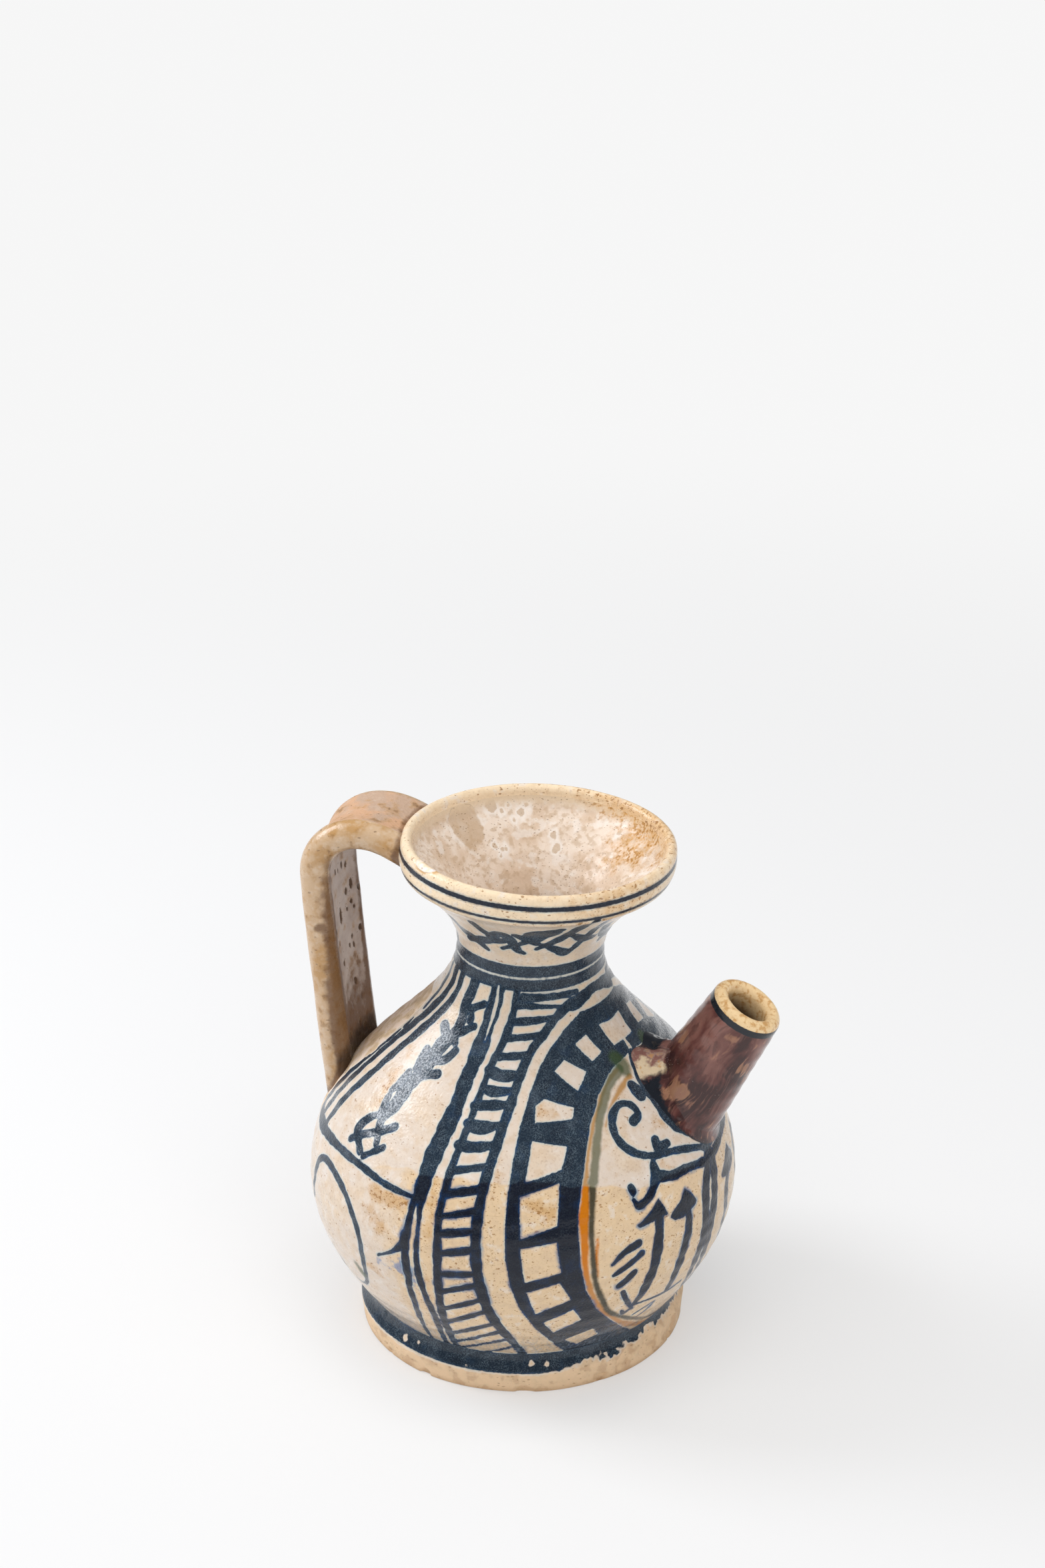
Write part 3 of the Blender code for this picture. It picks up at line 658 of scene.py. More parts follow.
class Wire:
    """An output of a node that takes part in Python arithmetic, each step of which adds a Math node."""

    def __init__(self, book: NodeBook, socket: bpy.types.NodeSocket) -> None:
        """Keep the socket and the book that its tree is written in."""
        self.book = book
        self.socket = socket

    def output(self, name: str) -> Wire:
        """Return another output of the same node."""
        return Wire(self.book, self.book.find(self.socket.node.outputs, name))

    def __add__(self, other: Value) -> Wire:
        """Return the sum."""
        return self.book.math("ADD", self, other)

    __radd__ = __add__

    def __sub__(self, other: Value) -> Wire:
        """Return the difference."""
        return self.book.math("SUBTRACT", self, other)

    def __rsub__(self, other: Value) -> Wire:
        """Return the difference from a plain number."""
        return self.book.math("SUBTRACT", other, self)

    def __mul__(self, other: Value) -> Wire:
        """Return the product."""
        return self.book.math("MULTIPLY", self, other)

    __rmul__ = __mul__

    def __truediv__(self, other: Value) -> Wire:
        """Return the quotient."""
        return self.book.math("DIVIDE", self, other)

    def __rtruediv__(self, other: Value) -> Wire:
        """Return the quotient of a plain number."""
        return self.book.math("DIVIDE", other, self)

    def __pow__(self, other: Value) -> Wire:
        """Return the power."""
        return self.book.math("POWER", self, other)

    def clamp(self) -> Wire:
        """Return the value held between 0 and 1."""
        return self.book.node("ShaderNodeClamp", {}, {"Value": self})

    def rise(self, low: float, high: float) -> Wire:
        """Return a smooth rise from 0 where the value is low to 1 where it is high."""
        bounds = {"Value": self, "From Min": low, "From Max": high}
        return self.book.node("ShaderNodeMapRange", {"interpolation_type": "SMOOTHSTEP"}, bounds)

    def fall(self, low: float, high: float) -> Wire:
        """Return a smooth fall from 1 where the value is low to 0 where it is high."""
        return 1.0 - self.rise(low, high)


class NodeBook:
    """Writes the nodes of one tree, of shaders or of geometry."""

    def __init__(self, tree: bpy.types.NodeTree) -> None:
        """Keep the tree."""
        self.tree = tree

    @staticmethod
    def find(sockets: Iterable[bpy.types.NodeSocket], key: str | int) -> bpy.types.NodeSocket:
        """Return a socket by its number, or the one in use by its name."""
        if isinstance(key, int):
            return list(sockets)[key]
        return next(socket for socket in sockets if socket.enabled and socket.name == key)

    def feed(self, node: bpy.types.Node, key: str | int, value: Value) -> None:
        """Link a wire to an input of a node, or set its plain value."""
        socket = self.find(node.inputs, key)
        if isinstance(value, Wire):
            self.tree.links.new(value.socket, socket)
        else:
            socket.default_value = value

    def node(
        self,
        kind: str,
        settings: dict[str, Any] | None = None,
        sockets: dict[str | int, Value] | None = None,
        output: str | int | None = None,
    ) -> Wire:
        """Add a node.

        Args:
            kind: Type of the node.
            settings: Its settings, set first.
            sockets: Values or links of its inputs.
            output: Output to return, or the first in use.

        Returns:
            That output.
        """
        node = self.tree.nodes.new(kind)
        for key, value in (settings or {}).items():
            setattr(node, key, value)
        for key, value in (sockets or {}).items():
            self.feed(node, key, value)
        if output is None:
            return Wire(self, next(out for out in node.outputs if out.enabled))
        return Wire(self, self.find(node.outputs, output))

    def math(self, operation: str, first: Value, second: Value = 0.0) -> Wire:
        """Return a Math node's result."""
        return self.node("ShaderNodeMath", {"operation": operation}, {0: first, 1: second})

    def vector(self, operation: str, *sockets: Value) -> Wire:
        """Return a Vector Math node's result."""
        return self.node("ShaderNodeVectorMath", {"operation": operation}, dict(enumerate(sockets)))

    def part(self, place: Value, axis: str) -> Wire:
        """Return one part of a vector."""
        return self.node("ShaderNodeSeparateXYZ", {}, {"Vector": place}, axis)

    def mix(self, share: Value, first: Value, second: Value) -> Wire:
        """Return a mix of two colours."""
        first, second = (value if isinstance(value, Wire) else (*value, 1.0) for value in (first, second))
        return self.node("ShaderNodeMix", {"data_type": "RGBA"}, {"Factor": share, "A": first, "B": second})

    def layers(self, ground: Value, *coats: tuple[Value, Value]) -> Wire:
        """Return a ground with coats laid over it in turn, each a share and a colour."""
        for share, colour in coats:
            ground = self.mix(share, ground, colour)
        return ground

    def noise(self, place: Value, size: float, detail: float, seed: Value) -> Wire:
        """Return noise from 0 to 1 whose lumps have a size in millimetres."""
        sockets = {"Vector": place, "W": seed, "Scale": 1.0 / (size * MM), "Detail": detail}
        return self.node("ShaderNodeTexNoise", {"noise_dimensions": "4D"}, sockets)

    def cells(self, place: Value, scale: Value) -> Wire:
        """Return the distance to the middles of scattered cells."""
        sockets = {"Vector": place, "Scale": scale}
        return self.node("ShaderNodeTexVoronoi", {"feature": "F1"}, sockets, "Distance")


class MaterialBook(NodeBook):
    """Writes one material round its Principled shader."""

    def __init__(self, name: str) -> None:
        """Start a material of that name."""
        self.material = bpy.data.materials.new(name)
        self.material.use_nodes = True
        super().__init__(self.material.node_tree)
        self.shader = self.tree.nodes["Principled BSDF"]
        self.place = self.node("ShaderNodeTexCoord", {}, {}, "Object")

    @cached_property
    def height(self) -> Wire:
        """The height of a place in millimetres."""
        return self.part(self.place, "Z") / MM

    def mark(self, name: str) -> Wire:
        """Return a number that the piece's skin carries."""
        return self.node("ShaderNodeAttribute", {"attribute_name": name}, {}, "Fac")

    def cloud(self, size: float, detail: float, seed: float) -> Wire:
        """Return noise from 0 to 1 over the piece."""
        return self.noise(self.place, size, detail, seed)

    def sway(self, size: float, detail: float, seed: float, swing: float) -> Wire:
        """Return noise to both sides of nothing, over a swing."""
        return (self.cloud(size, detail, seed) - 0.5) * swing

    def specks(self, size: float, share: Value, seed: float) -> Wire:
        """Return scattered specks from 0 to 1.

        Args:
            size: Distance between their cells in millimetres.
            share: Share of the cells that hold one.
            seed: Number that places them.

        Returns:
            The specks.
        """
        flat = self.vector("MULTIPLY", self.place, (1.0, 1.0, 2.0))
        wander = self.cloud(0.9 * size, 2.0, seed).output("Color")
        bent = self.vector("MULTIPLY_ADD", wander, (0.8 * size * MM,) * 3, flat)
        cells = self.cells(bent, 1.0 / (size * MM))
        split = self.node("ShaderNodeSeparateColor", {}, {"Color": cells.output("Color")}, "Red")
        dot = (cells / (0.12 + split.output("Green") * 0.24)).fall(0.7, 1.2)
        return dot * (split + share).rise(1.0, 1.02)

    def surface(
        self, sockets: dict[str, Value], relief: Wire | None = None, depth: float = 0.0
    ) -> bpy.types.Material:
        """Finish the material.

        Args:
            sockets: Values or links of the shader's inputs.
            relief: Height from 0 to 1 that raises the shading.
            depth: Height of the relief in millimetres.

        Returns:
            The material.
        """
        if relief is not None:
            bump = {"Height": relief, "Strength": 1.0, "Distance": depth * MM}
            sockets = {**sockets, "Normal": self.node("ShaderNodeBump", {}, bump)}
        for name, value in sockets.items():
            self.feed(self.shader, name, value)
        return self.material


@dataclass(frozen=True)
class GlazeFinish:
    """Painted tin glaze over buff clay, mended in places."""

    name: str
    cool_ground: Colour
    warm_ground: Colour
    clay: Colour = srgb(216, 188, 156)
    bare_clay: Colour = srgb(234, 210, 188)
    cobalt_deep: Colour = srgb(15, 21, 36)
    cobalt_slate: Colour = srgb(27, 42, 57)
    # Grey for worn and dusty paint, and for painted sheen on the upper strokes.
    cobalt_worn_and_sheen: Colour = srgb(104, 116, 130)
    cobalt_thin: Colour = srgb(28, 68, 116)
    cobalt_teal: Colour = srgb(46, 78, 108)
    halo_pale: Colour = srgb(184, 206, 210)
    salt: Colour = srgb(112, 130, 142)
    dust: Colour = srgb(150, 154, 160)
    ochre: Colour = srgb(208, 120, 2)
    ochre_pale: Colour = srgb(190, 142, 84)
    olive: Colour = srgb(100, 104, 78)
    olive_deep: Colour = srgb(46, 46, 30)
    leaf: Colour = srgb(62, 82, 50)
    wash: Colour = srgb(96, 128, 176)
    bleed: Colour = srgb(52, 104, 156)
    speck: Colour = srgb(152, 102, 44)
    rust: Colour = srgb(204, 154, 84)
    crack: Colour = srgb(128, 92, 62)
    white: Colour = srgb(240, 231, 222)
    gloss: float = 0.13
    brush_draw: Knot = (1.0, 1.0, 0.16)

    def ground(self, book: MaterialBook, warmth: Wire) -> Wire:
        """Return the glaze's own colour with its clouds, specks, stains and cracks.

        Args:
            book: Book of the material.
            warmth: 0 on the cool white glaze, 1 on the warm buff one.

        Returns:
            The colour.
        """
        cloud = book.cloud(13.0, 3.0, 1.0)
        mottle = book.cloud(2.8, 5.0, 2.0)
        grain = book.cloud(0.7, 3.0, 46.0).rise(0.5, 0.7)
        seep = (book.cloud(2.4, 5.0, 3.0) - 0.55) * 9.0
        stain = (book.mark(Paint.STAIN) + seep).rise(-1.2, 2.6)
        thick = book.cloud(9.0, 2.0, 16.0).rise(0.42, 0.66) * (0.3 + book.height.rise(36.0, 58.0) * 0.4)
        sown = 1.0 - book.height.rise(100.0, 110.0) * 0.7
        share = (0.05 + warmth * (0.08 + thick)) * sown + stain * 0.7
        fleck = book.cloud(1.5, 4.0, 48.0) + stain * 0.07 + warmth * 0.02
        crack = (book.mark(Paint.CRACK) + book.sway(1.6, 3.0, 17.0, 0.5)).rise(-0.1, 0.16)
        broken = book.cloud(4.0, 3.0, 18.0).rise(0.4, 0.52)
        return book.layers(
            self.cool_ground,
            (warmth, self.warm_ground),
            (cloud.rise(0.42, 0.72) * 0.4, self.warm_ground),
            (mottle.rise(0.5, 0.64) * 0.42, self.clay),
            (mottle.fall(0.32, 0.46) * 0.5, self.white),
            (grain * (0.1 + cloud.rise(0.45, 0.65) * 0.16), self.speck),
            (stain * 0.55, self.rust),
            (book.specks(0.8, share, 4.0) * 0.75, self.speck),
            (book.specks(1.6, share * 0.7, 5.0) * 0.7, self.speck),
            (fleck.rise(0.66, 0.7) * 0.7, self.speck),
            (crack * broken * 0.5, self.crack),
        )

    def paint(self, book: MaterialBook, colour: Wire, warmth: Wire) -> Wire:
        """Lay the painted ornament over a ground.

        Args:
            book: Book of the material.
            colour: Colour of the ground.
            warmth: 0 on the cool white glaze, 1 on the warm buff one.

        Returns:
            The painted colour.
        """
        height = book.height
        ragged_edge = book.sway(1.2, 3.0, 6.0, 0.5)
        patches = book.cloud(6.0, 4.0, 9.0)
        wash = book.mark(Paint.WASH) + (book.cloud(2.2, 4.0, 8.0) - 0.56) * 12.0
        ochre, olive = (book.mark(paint) + ragged_edge for paint in (Paint.OCHRE, Paint.OLIVE))
        strength = (warmth * (0.35 + height.rise(40.0, 58.0) * 0.8) + (patches - 0.5) * 0.3).clamp()
        drawn = book.vector("MULTIPLY", book.place, self.brush_draw)
        hairs = book.noise(drawn, 0.9, 3.0, 42.0).rise(0.42, 0.66)
        low = height.fall(17.0, 28.0) * height.rise(12.6, 14.0)
        cobalt = book.mark(Paint.COBALT) + ragged_edge - hairs * low * 0.45
        bleed = book.cloud(7.0, 3.0, 47.0).rise(0.54, 0.62) * warmth * height.fall(100.0, 110.0)
        halo = book.mix(warmth * patches.rise(0.4, 0.6), self.halo_pale, self.cobalt_thin)
        # Greyer paint at random over the cool glaze: partly wear, partly painted sheen.
        worn = book.cloud(9.0, 5.0, 19.0).rise(0.54, 0.74) * (0.4 - warmth * 0.34)
        grain = book.cloud(0.34, 4.0, 10.0).rise(0.4, 0.7)
        dusty = 0.35 + book.cloud(3.4, 3.0, 43.0).rise(0.36, 0.66) * 0.65
        blue = book.cloud(4.6, 4.0, 44.0).rise(0.53, 0.67)
        edge = cobalt.fall(-0.05, 0.8)
        pigment = book.layers(
            self.cobalt_slate,
            (warmth, self.cobalt_deep),
            (patches.rise(0.46, 0.72) * 0.6, self.cobalt_deep),
            (worn + low * (0.3 + hairs * 0.6), self.cobalt_worn_and_sheen),
            (grain * dusty * (0.62 - warmth * 0.5), self.salt),
            (edge * 0.35 + blue * (edge * 0.4 + 0.14),
             book.mix(warmth + blue * 0.5, self.cobalt_teal, self.cobalt_thin)),
        )
        leaf = book.mark(Paint.LEAF) + ragged_edge * 2.0
        yellow = book.mix(strength, self.ochre_pale, self.ochre)
        return book.layers(
            colour,
            (wash.rise(-0.5, 2.2) * 0.7, self.wash),
            (ochre.rise(-0.6, 0.45) * (0.92 + strength * 0.08), yellow),
            (olive.rise(-0.7, 0.4) * (0.84 + warmth * 0.1), book.mix(warmth, self.olive, self.olive_deep)),
            (low * (0.1 + hairs * 0.4), self.dust),
            (cobalt.rise(-1.3, 0.0) * bleed * 0.6, self.bleed),
            (cobalt.rise(-0.7, 0.0) * 0.55, halo),
            (cobalt.rise(-0.12, 0.1), pigment),
            (leaf.rise(-1.2, 0.8) * 0.8, self.leaf),
        )

    def make(self) -> bpy.types.Material:
        """Return the material, with bare clay where the glaze is chipped or was never laid."""
        book = MaterialBook(self.name)
        height = book.height
        drift = book.sway(5.0, 4.0, 12.0, 3.0)
        warmth = (book.mark("warmth") + drift).rise(-1.1, 1.1)
        fray = book.mark("bare") + drift * 0.4 + book.sway(1.4, 3.0, 45.0, 1.2)
        bare = fray.rise(-0.2, 0.25)
        clod = book.cloud(4.0, 5.0, 13.0)
        pores = book.specks(1.5, 0.25, 6.0)
        clay = book.layers(
            self.bare_clay,
            (clod.rise(0.42, 0.56), self.warm_ground),
            (clod.rise(0.52, 0.62) * 0.7, self.clay),
            (height.fall(0.0, 2.4) * 0.35, self.speck),
            (pores * 0.4, self.speck),
            (fray.fall(0.2, 0.9) * 0.6, self.white),
        )
        wear = book.cloud(5.0, 4.0, 14.0)
        scorch = fray.rise(-2.4, -0.4) * height.rise(150.0, 155.0) * wear.rise(0.44, 0.56)
        painted = self.paint(book, self.ground(book, warmth), warmth)
        shoulder = height.rise(68.0, 78.0) - height.rise(104.0, 114.0)
        spangle = book.cloud(0.5, 3.0, 49.0).rise(0.47, 0.57)
        shine = book.mark(Paint.COBALT).rise(-0.1, 0.2) * shoulder * spangle
        peel = book.cloud(2.2, 3.0, 15.0)
        grit = book.cloud(0.8, 3.0, 20.0)
        relief = peel * 0.5 + grit * 0.8 + bare * (clod * 1.4 + grit * 0.7 - pores * 0.5 - 0.5)
        return book.surface({
            "Base Color": book.layers(painted, (scorch * 0.75, self.rust), (bare, clay)),
            "Roughness": self.gloss + wear.rise(0.4, 0.8) * 0.14 + bare * 0.46,
            "Specular IOR Level": 0.34,
            "Coat Weight": (1.0 - bare) * (0.04 + shine * 0.96),
            "Coat Roughness": 0.06,
        }, relief, 0.2)


@dataclass(frozen=True)
class FunnelFinish:
    """The worn inside of the funnel: pink-white bloom, flaked glaze, craters, rust and pinholes."""

    name: str
    bloom: Colour = srgb(240, 224, 208)
    flesh: Colour = srgb(222, 198, 174)
    tan: Colour = srgb(196, 168, 136)
    crust: Colour = srgb(246, 238, 230)
    rim: Colour = srgb(234, 212, 182)
    rust: Colour = srgb(208, 152, 66)
    rust_deep: Colour = srgb(156, 104, 36)
    pinhole: Colour = srgb(138, 106, 76)

    def make(self) -> bpy.types.Material:
        """Return the material."""
        book = MaterialBook(self.name)
        cloud = book.cloud(10.0, 5.0, 21.0)
        mottle = book.cloud(1.8, 6.0, 22.0)
        scale = book.cloud(5.0, 6.0, 27.0)
        spread = book.cloud(5.5, 5.0, 23.0)
        fine = book.cloud(0.9, 4.0, 24.0)
        edge = (mottle - 0.5) * 3.0
        flake = book.mark("flake") + edge
        crater = book.mark("crater") + book.sway(2.0, 3.0, 25.0, 2.6)
        rim = (book.mark("rim") + edge * 0.6).rise(-2.4, 1.6)
        soak = (spread + book.mark(Paint.STAIN) * 0.11).rise(0.54, 0.78)
        rust = soak * (0.45 + fine.rise(0.42, 0.58) * 0.55)
        deep = (fine + (spread - 0.5) * 0.5).rise(0.54, 0.64)
        thick = book.cloud(8.0, 3.0, 26.0).rise(0.42, 0.62)
        colour = book.layers(
            self.bloom,
            (cloud.rise(0.4, 0.64), self.flesh),
            (mottle.rise(0.46, 0.64) * 0.6, self.tan),
            (scale.rise(0.53, 0.62) * 0.55, self.crust),
            (flake.rise(-0.4, 0.6) * 0.65, self.tan),
            (crater.rise(-1.5, -0.3) * 0.75, self.crust),
            (crater.rise(-0.2, 0.25) * 0.7, self.tan),
            (rim, self.rim),
            (rust * 0.85, self.rust),
            (deep * soak * 0.7, self.rust_deep),
            (book.specks(0.9, 0.1 + thick * 0.5, 7.0) * 0.6, self.pinhole),
        )
        return book.surface({
            "Base Color": colour,
            "Roughness": 0.22 + mottle.rise(0.38, 0.68) * 0.25 + rust * 0.2,
            "Specular IOR Level": 0.4,
            "Coat Weight": (1.0 - rust) * 0.15,
            "Coat Roughness": 0.1,
        }, mottle * 0.6 + scale * 0.5 - flake.rise(-0.3, 0.1) * 0.3, 0.3)


@dataclass(frozen=True)
class StrapFinish:
    """Thin buff glaze on the strap: shiny rolled edges, a rubbed back and a grey pitted inside, with grime
    and painted shade in its corners, in its pits and near the shoulder.
    """

    name: str
    roll: Colour = srgb(210, 179, 144)
    roll_ochre: Colour = srgb(188, 142, 82)
    back: Colour = srgb(198, 168, 144)
    back_warm: Colour = srgb(216, 172, 136)
    inside: Colour = srgb(210, 196, 188)
    inside_dark: Colour = srgb(182, 164, 154)
    # Brown for grime, and for the painted shade laid with it in the corners, low on the inside and where the
    # strap meets the shoulder.
    grime_and_shade: Colour = srgb(106, 70, 38)
    # Near-black brown for the painted shade, with some grime, where the strap nears the shoulder.
    deep_shade: Colour = srgb(40, 24, 14)
    # Dark brown for the pits: painted shade with some dirt in them.
    pit: Colour = srgb(92, 66, 44)
    bloom: Colour = srgb(232, 218, 200)

    def make(self) -> bpy.types.Material:
        """Return the material."""
        book = MaterialBook(self.name)
        cloud = book.cloud(9.0, 4.0, 51.0)
        mottle = book.cloud(2.4, 5.0, 52.0)
        dirt = book.cloud(3.6, 6.0, 53.0)
        play = mottle - 0.5
        inner = (book.mark("inner") + play * 0.3).rise(0.3, 0.6)
        outer = (book.mark("outer") + play * 0.5).rise(0.3, 0.7)
        # Grime with painted shade: along the rolls, low on the inside and where the strap sits on the
        # shoulder.
        grime_and_shade = (book.mark("grime_and_shade") + (dirt - 0.5) * 1.6).rise(0.25, 1.0)
        # Painted shade with some grime on the inside near the shoulder.
        crease_shade = (book.mark("crease_shade") + play * 0.4).rise(0.2, 1.0)
        pit = book.mark("pit") + book.mark("deep_pit")
        colour = book.layers(
            self.roll,
            (cloud.rise(0.48, 0.6) * 0.75, self.roll_ochre),
            (mottle.rise(0.48, 0.74) * 0.35, self.bloom),
            (outer, book.mix(cloud.rise(0.44, 0.6), self.back, self.back_warm)),
            (inner, book.mix(cloud.rise(0.4, 0.66), self.inside, self.inside_dark)),
            (mottle.fall(0.26, 0.46) * 0.25, self.bloom),
            (dirt.rise(0.5, 0.66) * 0.5, self.roll_ochre),
            (dirt.rise(0.6, 0.68) * 0.4, self.grime_and_shade),
            (grime_and_shade * 0.8, self.grime_and_shade),
            (crease_shade * 0.85, self.deep_shade),
            (book.specks(1.6, 0.18, 8.0) * 0.5, self.grime_and_shade),
            # The pits painted darker with their depth: painted shade with some dirt.
            (pit.rise(0.04, 0.5) * 0.9, self.pit),
        )
        dull = book.math("MAXIMUM", inner, outer)
        grit = book.cloud(1.1, 4.0, 54.0)
        return book.surface({
            "Base Color": colour,
            "Roughness": 0.22 + dull * 0.32 + mottle.rise(0.4, 0.8) * 0.16,
            "Specular IOR Level": 0.4,
            "Coat Weight": (1.0 - dull) * 0.25,
            "Coat Roughness": 0.1,
        }, grit * (0.35 + dull * 0.4) + mottle * 0.5 + dirt * 0.7, 0.35)


@dataclass(frozen=True)
class ManganeseFinish:
    """Brushed manganese purple that thins to brown, with a buff lip, a dark ring, a bare wad, painted shade
    down its bore and a few painted glints.
    """

    name: str
    slope: float
    deep: Colour = srgb(52, 28, 28)
    mid: Colour = srgb(100, 58, 52)
    rose: Colour = srgb(140, 96, 86)
    pale: Colour = srgb(188, 138, 104)
    buff: Colour = srgb(248, 216, 166)
    buff_deep: Colour = srgb(200, 142, 66)
    ring: Colour = srgb(24, 29, 38)
    # Painted shade that darkens the bore.
    deep_shade: Colour = srgb(84, 66, 48)
    # Whitish specks of painted glint.
    painted_glint: Colour = srgb(196, 176, 170)
    wad_rose: Colour = srgb(166, 138, 126)
    wad_cream: Colour = srgb(224, 202, 168)
    brush_draw: Knot = (1.0, 1.0, 0.55)
    hair_draw: Knot = (1.0, 1.0, 0.2)
    swirl: Knot = (0.012, 0.012, 0.008)

    def make(self) -> bpy.types.Material:
        """Return the material, whose brush marks follow the tube."""
        book = MaterialBook(self.name)
        turned = {"Vector": book.place, "Rotation": (0.0, -self.slope, 0.0)}
        along_tube = book.node("ShaderNodeMapping", {"vector_type": "POINT"}, turned)
        brushed = book.vector("MULTIPLY", along_tube, self.brush_draw)
        wander = book.noise(brushed, 12.0, 2.0, 31.0).output("Color")
        bent = book.vector("MULTIPLY_ADD", wander, self.swirl, brushed)
        blot = book.noise(bent, 11.0, 3.0, 32.0)
        dab = book.noise(bent, 6.5, 2.0, 33.0)
        hairs = book.noise(book.vector("MULTIPLY", bent, self.hair_draw), 1.1, 3.0, 37.0)
        grain = book.cloud(0.8, 3.0, 34.0)
        crumb = book.cloud(1.6, 5.0, 36.0)
        clod = book.cloud(2.6, 4.0, 39.0)
        dark = blot.fall(0.41, 0.48)
        sown = book.cloud(7.0, 2.0, 38.0).rise(0.5, 0.62) * 0.4
        lip = (book.mark("lip") + (grain - 0.5) * 0.5).rise(-0.12, 0.12)
        ring = (book.mark(Paint.COBALT) + (grain - 0.5) * 0.35).rise(-0.12, 0.12)
        wad = (book.mark("wad") + (clod - 0.5) * 3.0).rise(-0.5, 0.6)
        laid = (clod + book.mark("wad_low") * 0.3).rise(0.46, 0.64)
        buff = book.layers(
            self.buff,
            (crumb.rise(0.47, 0.65) * 0.75, self.buff_deep),
            (book.specks(0.8, 0.3, 9.0) * 0.5, self.buff_deep),
            # Painted shade, deeper down the bore.
            (book.mark("bored"), self.deep_shade),
        )
        chalk = book.layers(
            self.rose,
            (crumb.rise(0.45, 0.61), self.wad_rose),
            (laid, self.wad_cream),
            (crumb.rise(0.56, 0.66) * 0.6, self.buff_deep),
        )
        colour = book.layers(
            self.mid,
            (blot.rise(0.49, 0.59), self.rose),
            (dark * 0.85, self.deep),
            ((dab + hairs * 0.45).rise(0.82, 0.89) * 0.65, self.pale),
            (hairs.rise(0.52, 0.64) * 0.35, self.rose),
            (hairs.fall(0.36, 0.48) * 0.4, self.deep),
            # Painted glints: whitish specks on the dark blotches.
            (book.specks(0.45, 0.01 + dark * sown, 10.0) * 0.6, self.painted_glint),
            (lip, buff),
            (wad, chalk),
            (ring, self.ring),
        )
        dimples = book.cells(book.place, 1.0 / (1.6 * MM)).rise(0.0, 0.25)
        return book.surface({
            "Base Color": colour,
            "Roughness": 0.15 + grain.rise(0.4, 0.8) * 0.14 + lip * 0.08 + wad * 0.34,
            "Specular IOR Level": 0.42,
            "Coat Weight": (1.0 - wad) * 0.2,
            "Coat Roughness": 0.08,
        }, dimples * 0.4 + grain * 0.3 + hairs * 0.2 + wad * (clod * 5.0 + crumb * 3.0), 0.12)


@dataclass(frozen=True)
class PaperFinish:
    """White paper that keeps the vessel's shadow near it and runs out into a bright backdrop."""

    name: str
    white: float = 0.86
    near_white: float = 0.5
    near_glow: float = 0.4
    far_glow: float = 0.925
    near_end: float = 0.22
    far_start: float = 0.95

    def make(self) -> bpy.types.Material:
        """Return the material."""
        book = MaterialBook(self.name)
        black, plain, near, dim, bright = (
            (value,) * 3 for value in (0.0, self.white, self.near_white, self.near_glow, self.far_glow)
        )
        far = book.vector("LENGTH", book.place).output("Value").rise(self.near_end, self.far_start)
        path = book.node("ShaderNodeLightPath", {}, {}, "Is Camera Ray")
        seen = book.math("MAXIMUM", path, path.output("Is Glossy Ray"))
        return book.surface({
            "Base Color": book.mix(seen, plain, book.mix(far, near, black)),
            "Roughness": 0.9,
            "Specular IOR Level": 0.0,
            "Emission Color": book.mix(seen, black, book.mix(far, dim, bright)),
            "Emission Strength": 1.0,
        })


HAND_INPUTS = ("Lump", "Pit depth", "Pit size", "Pit share", "Pit stretch", "Seed")


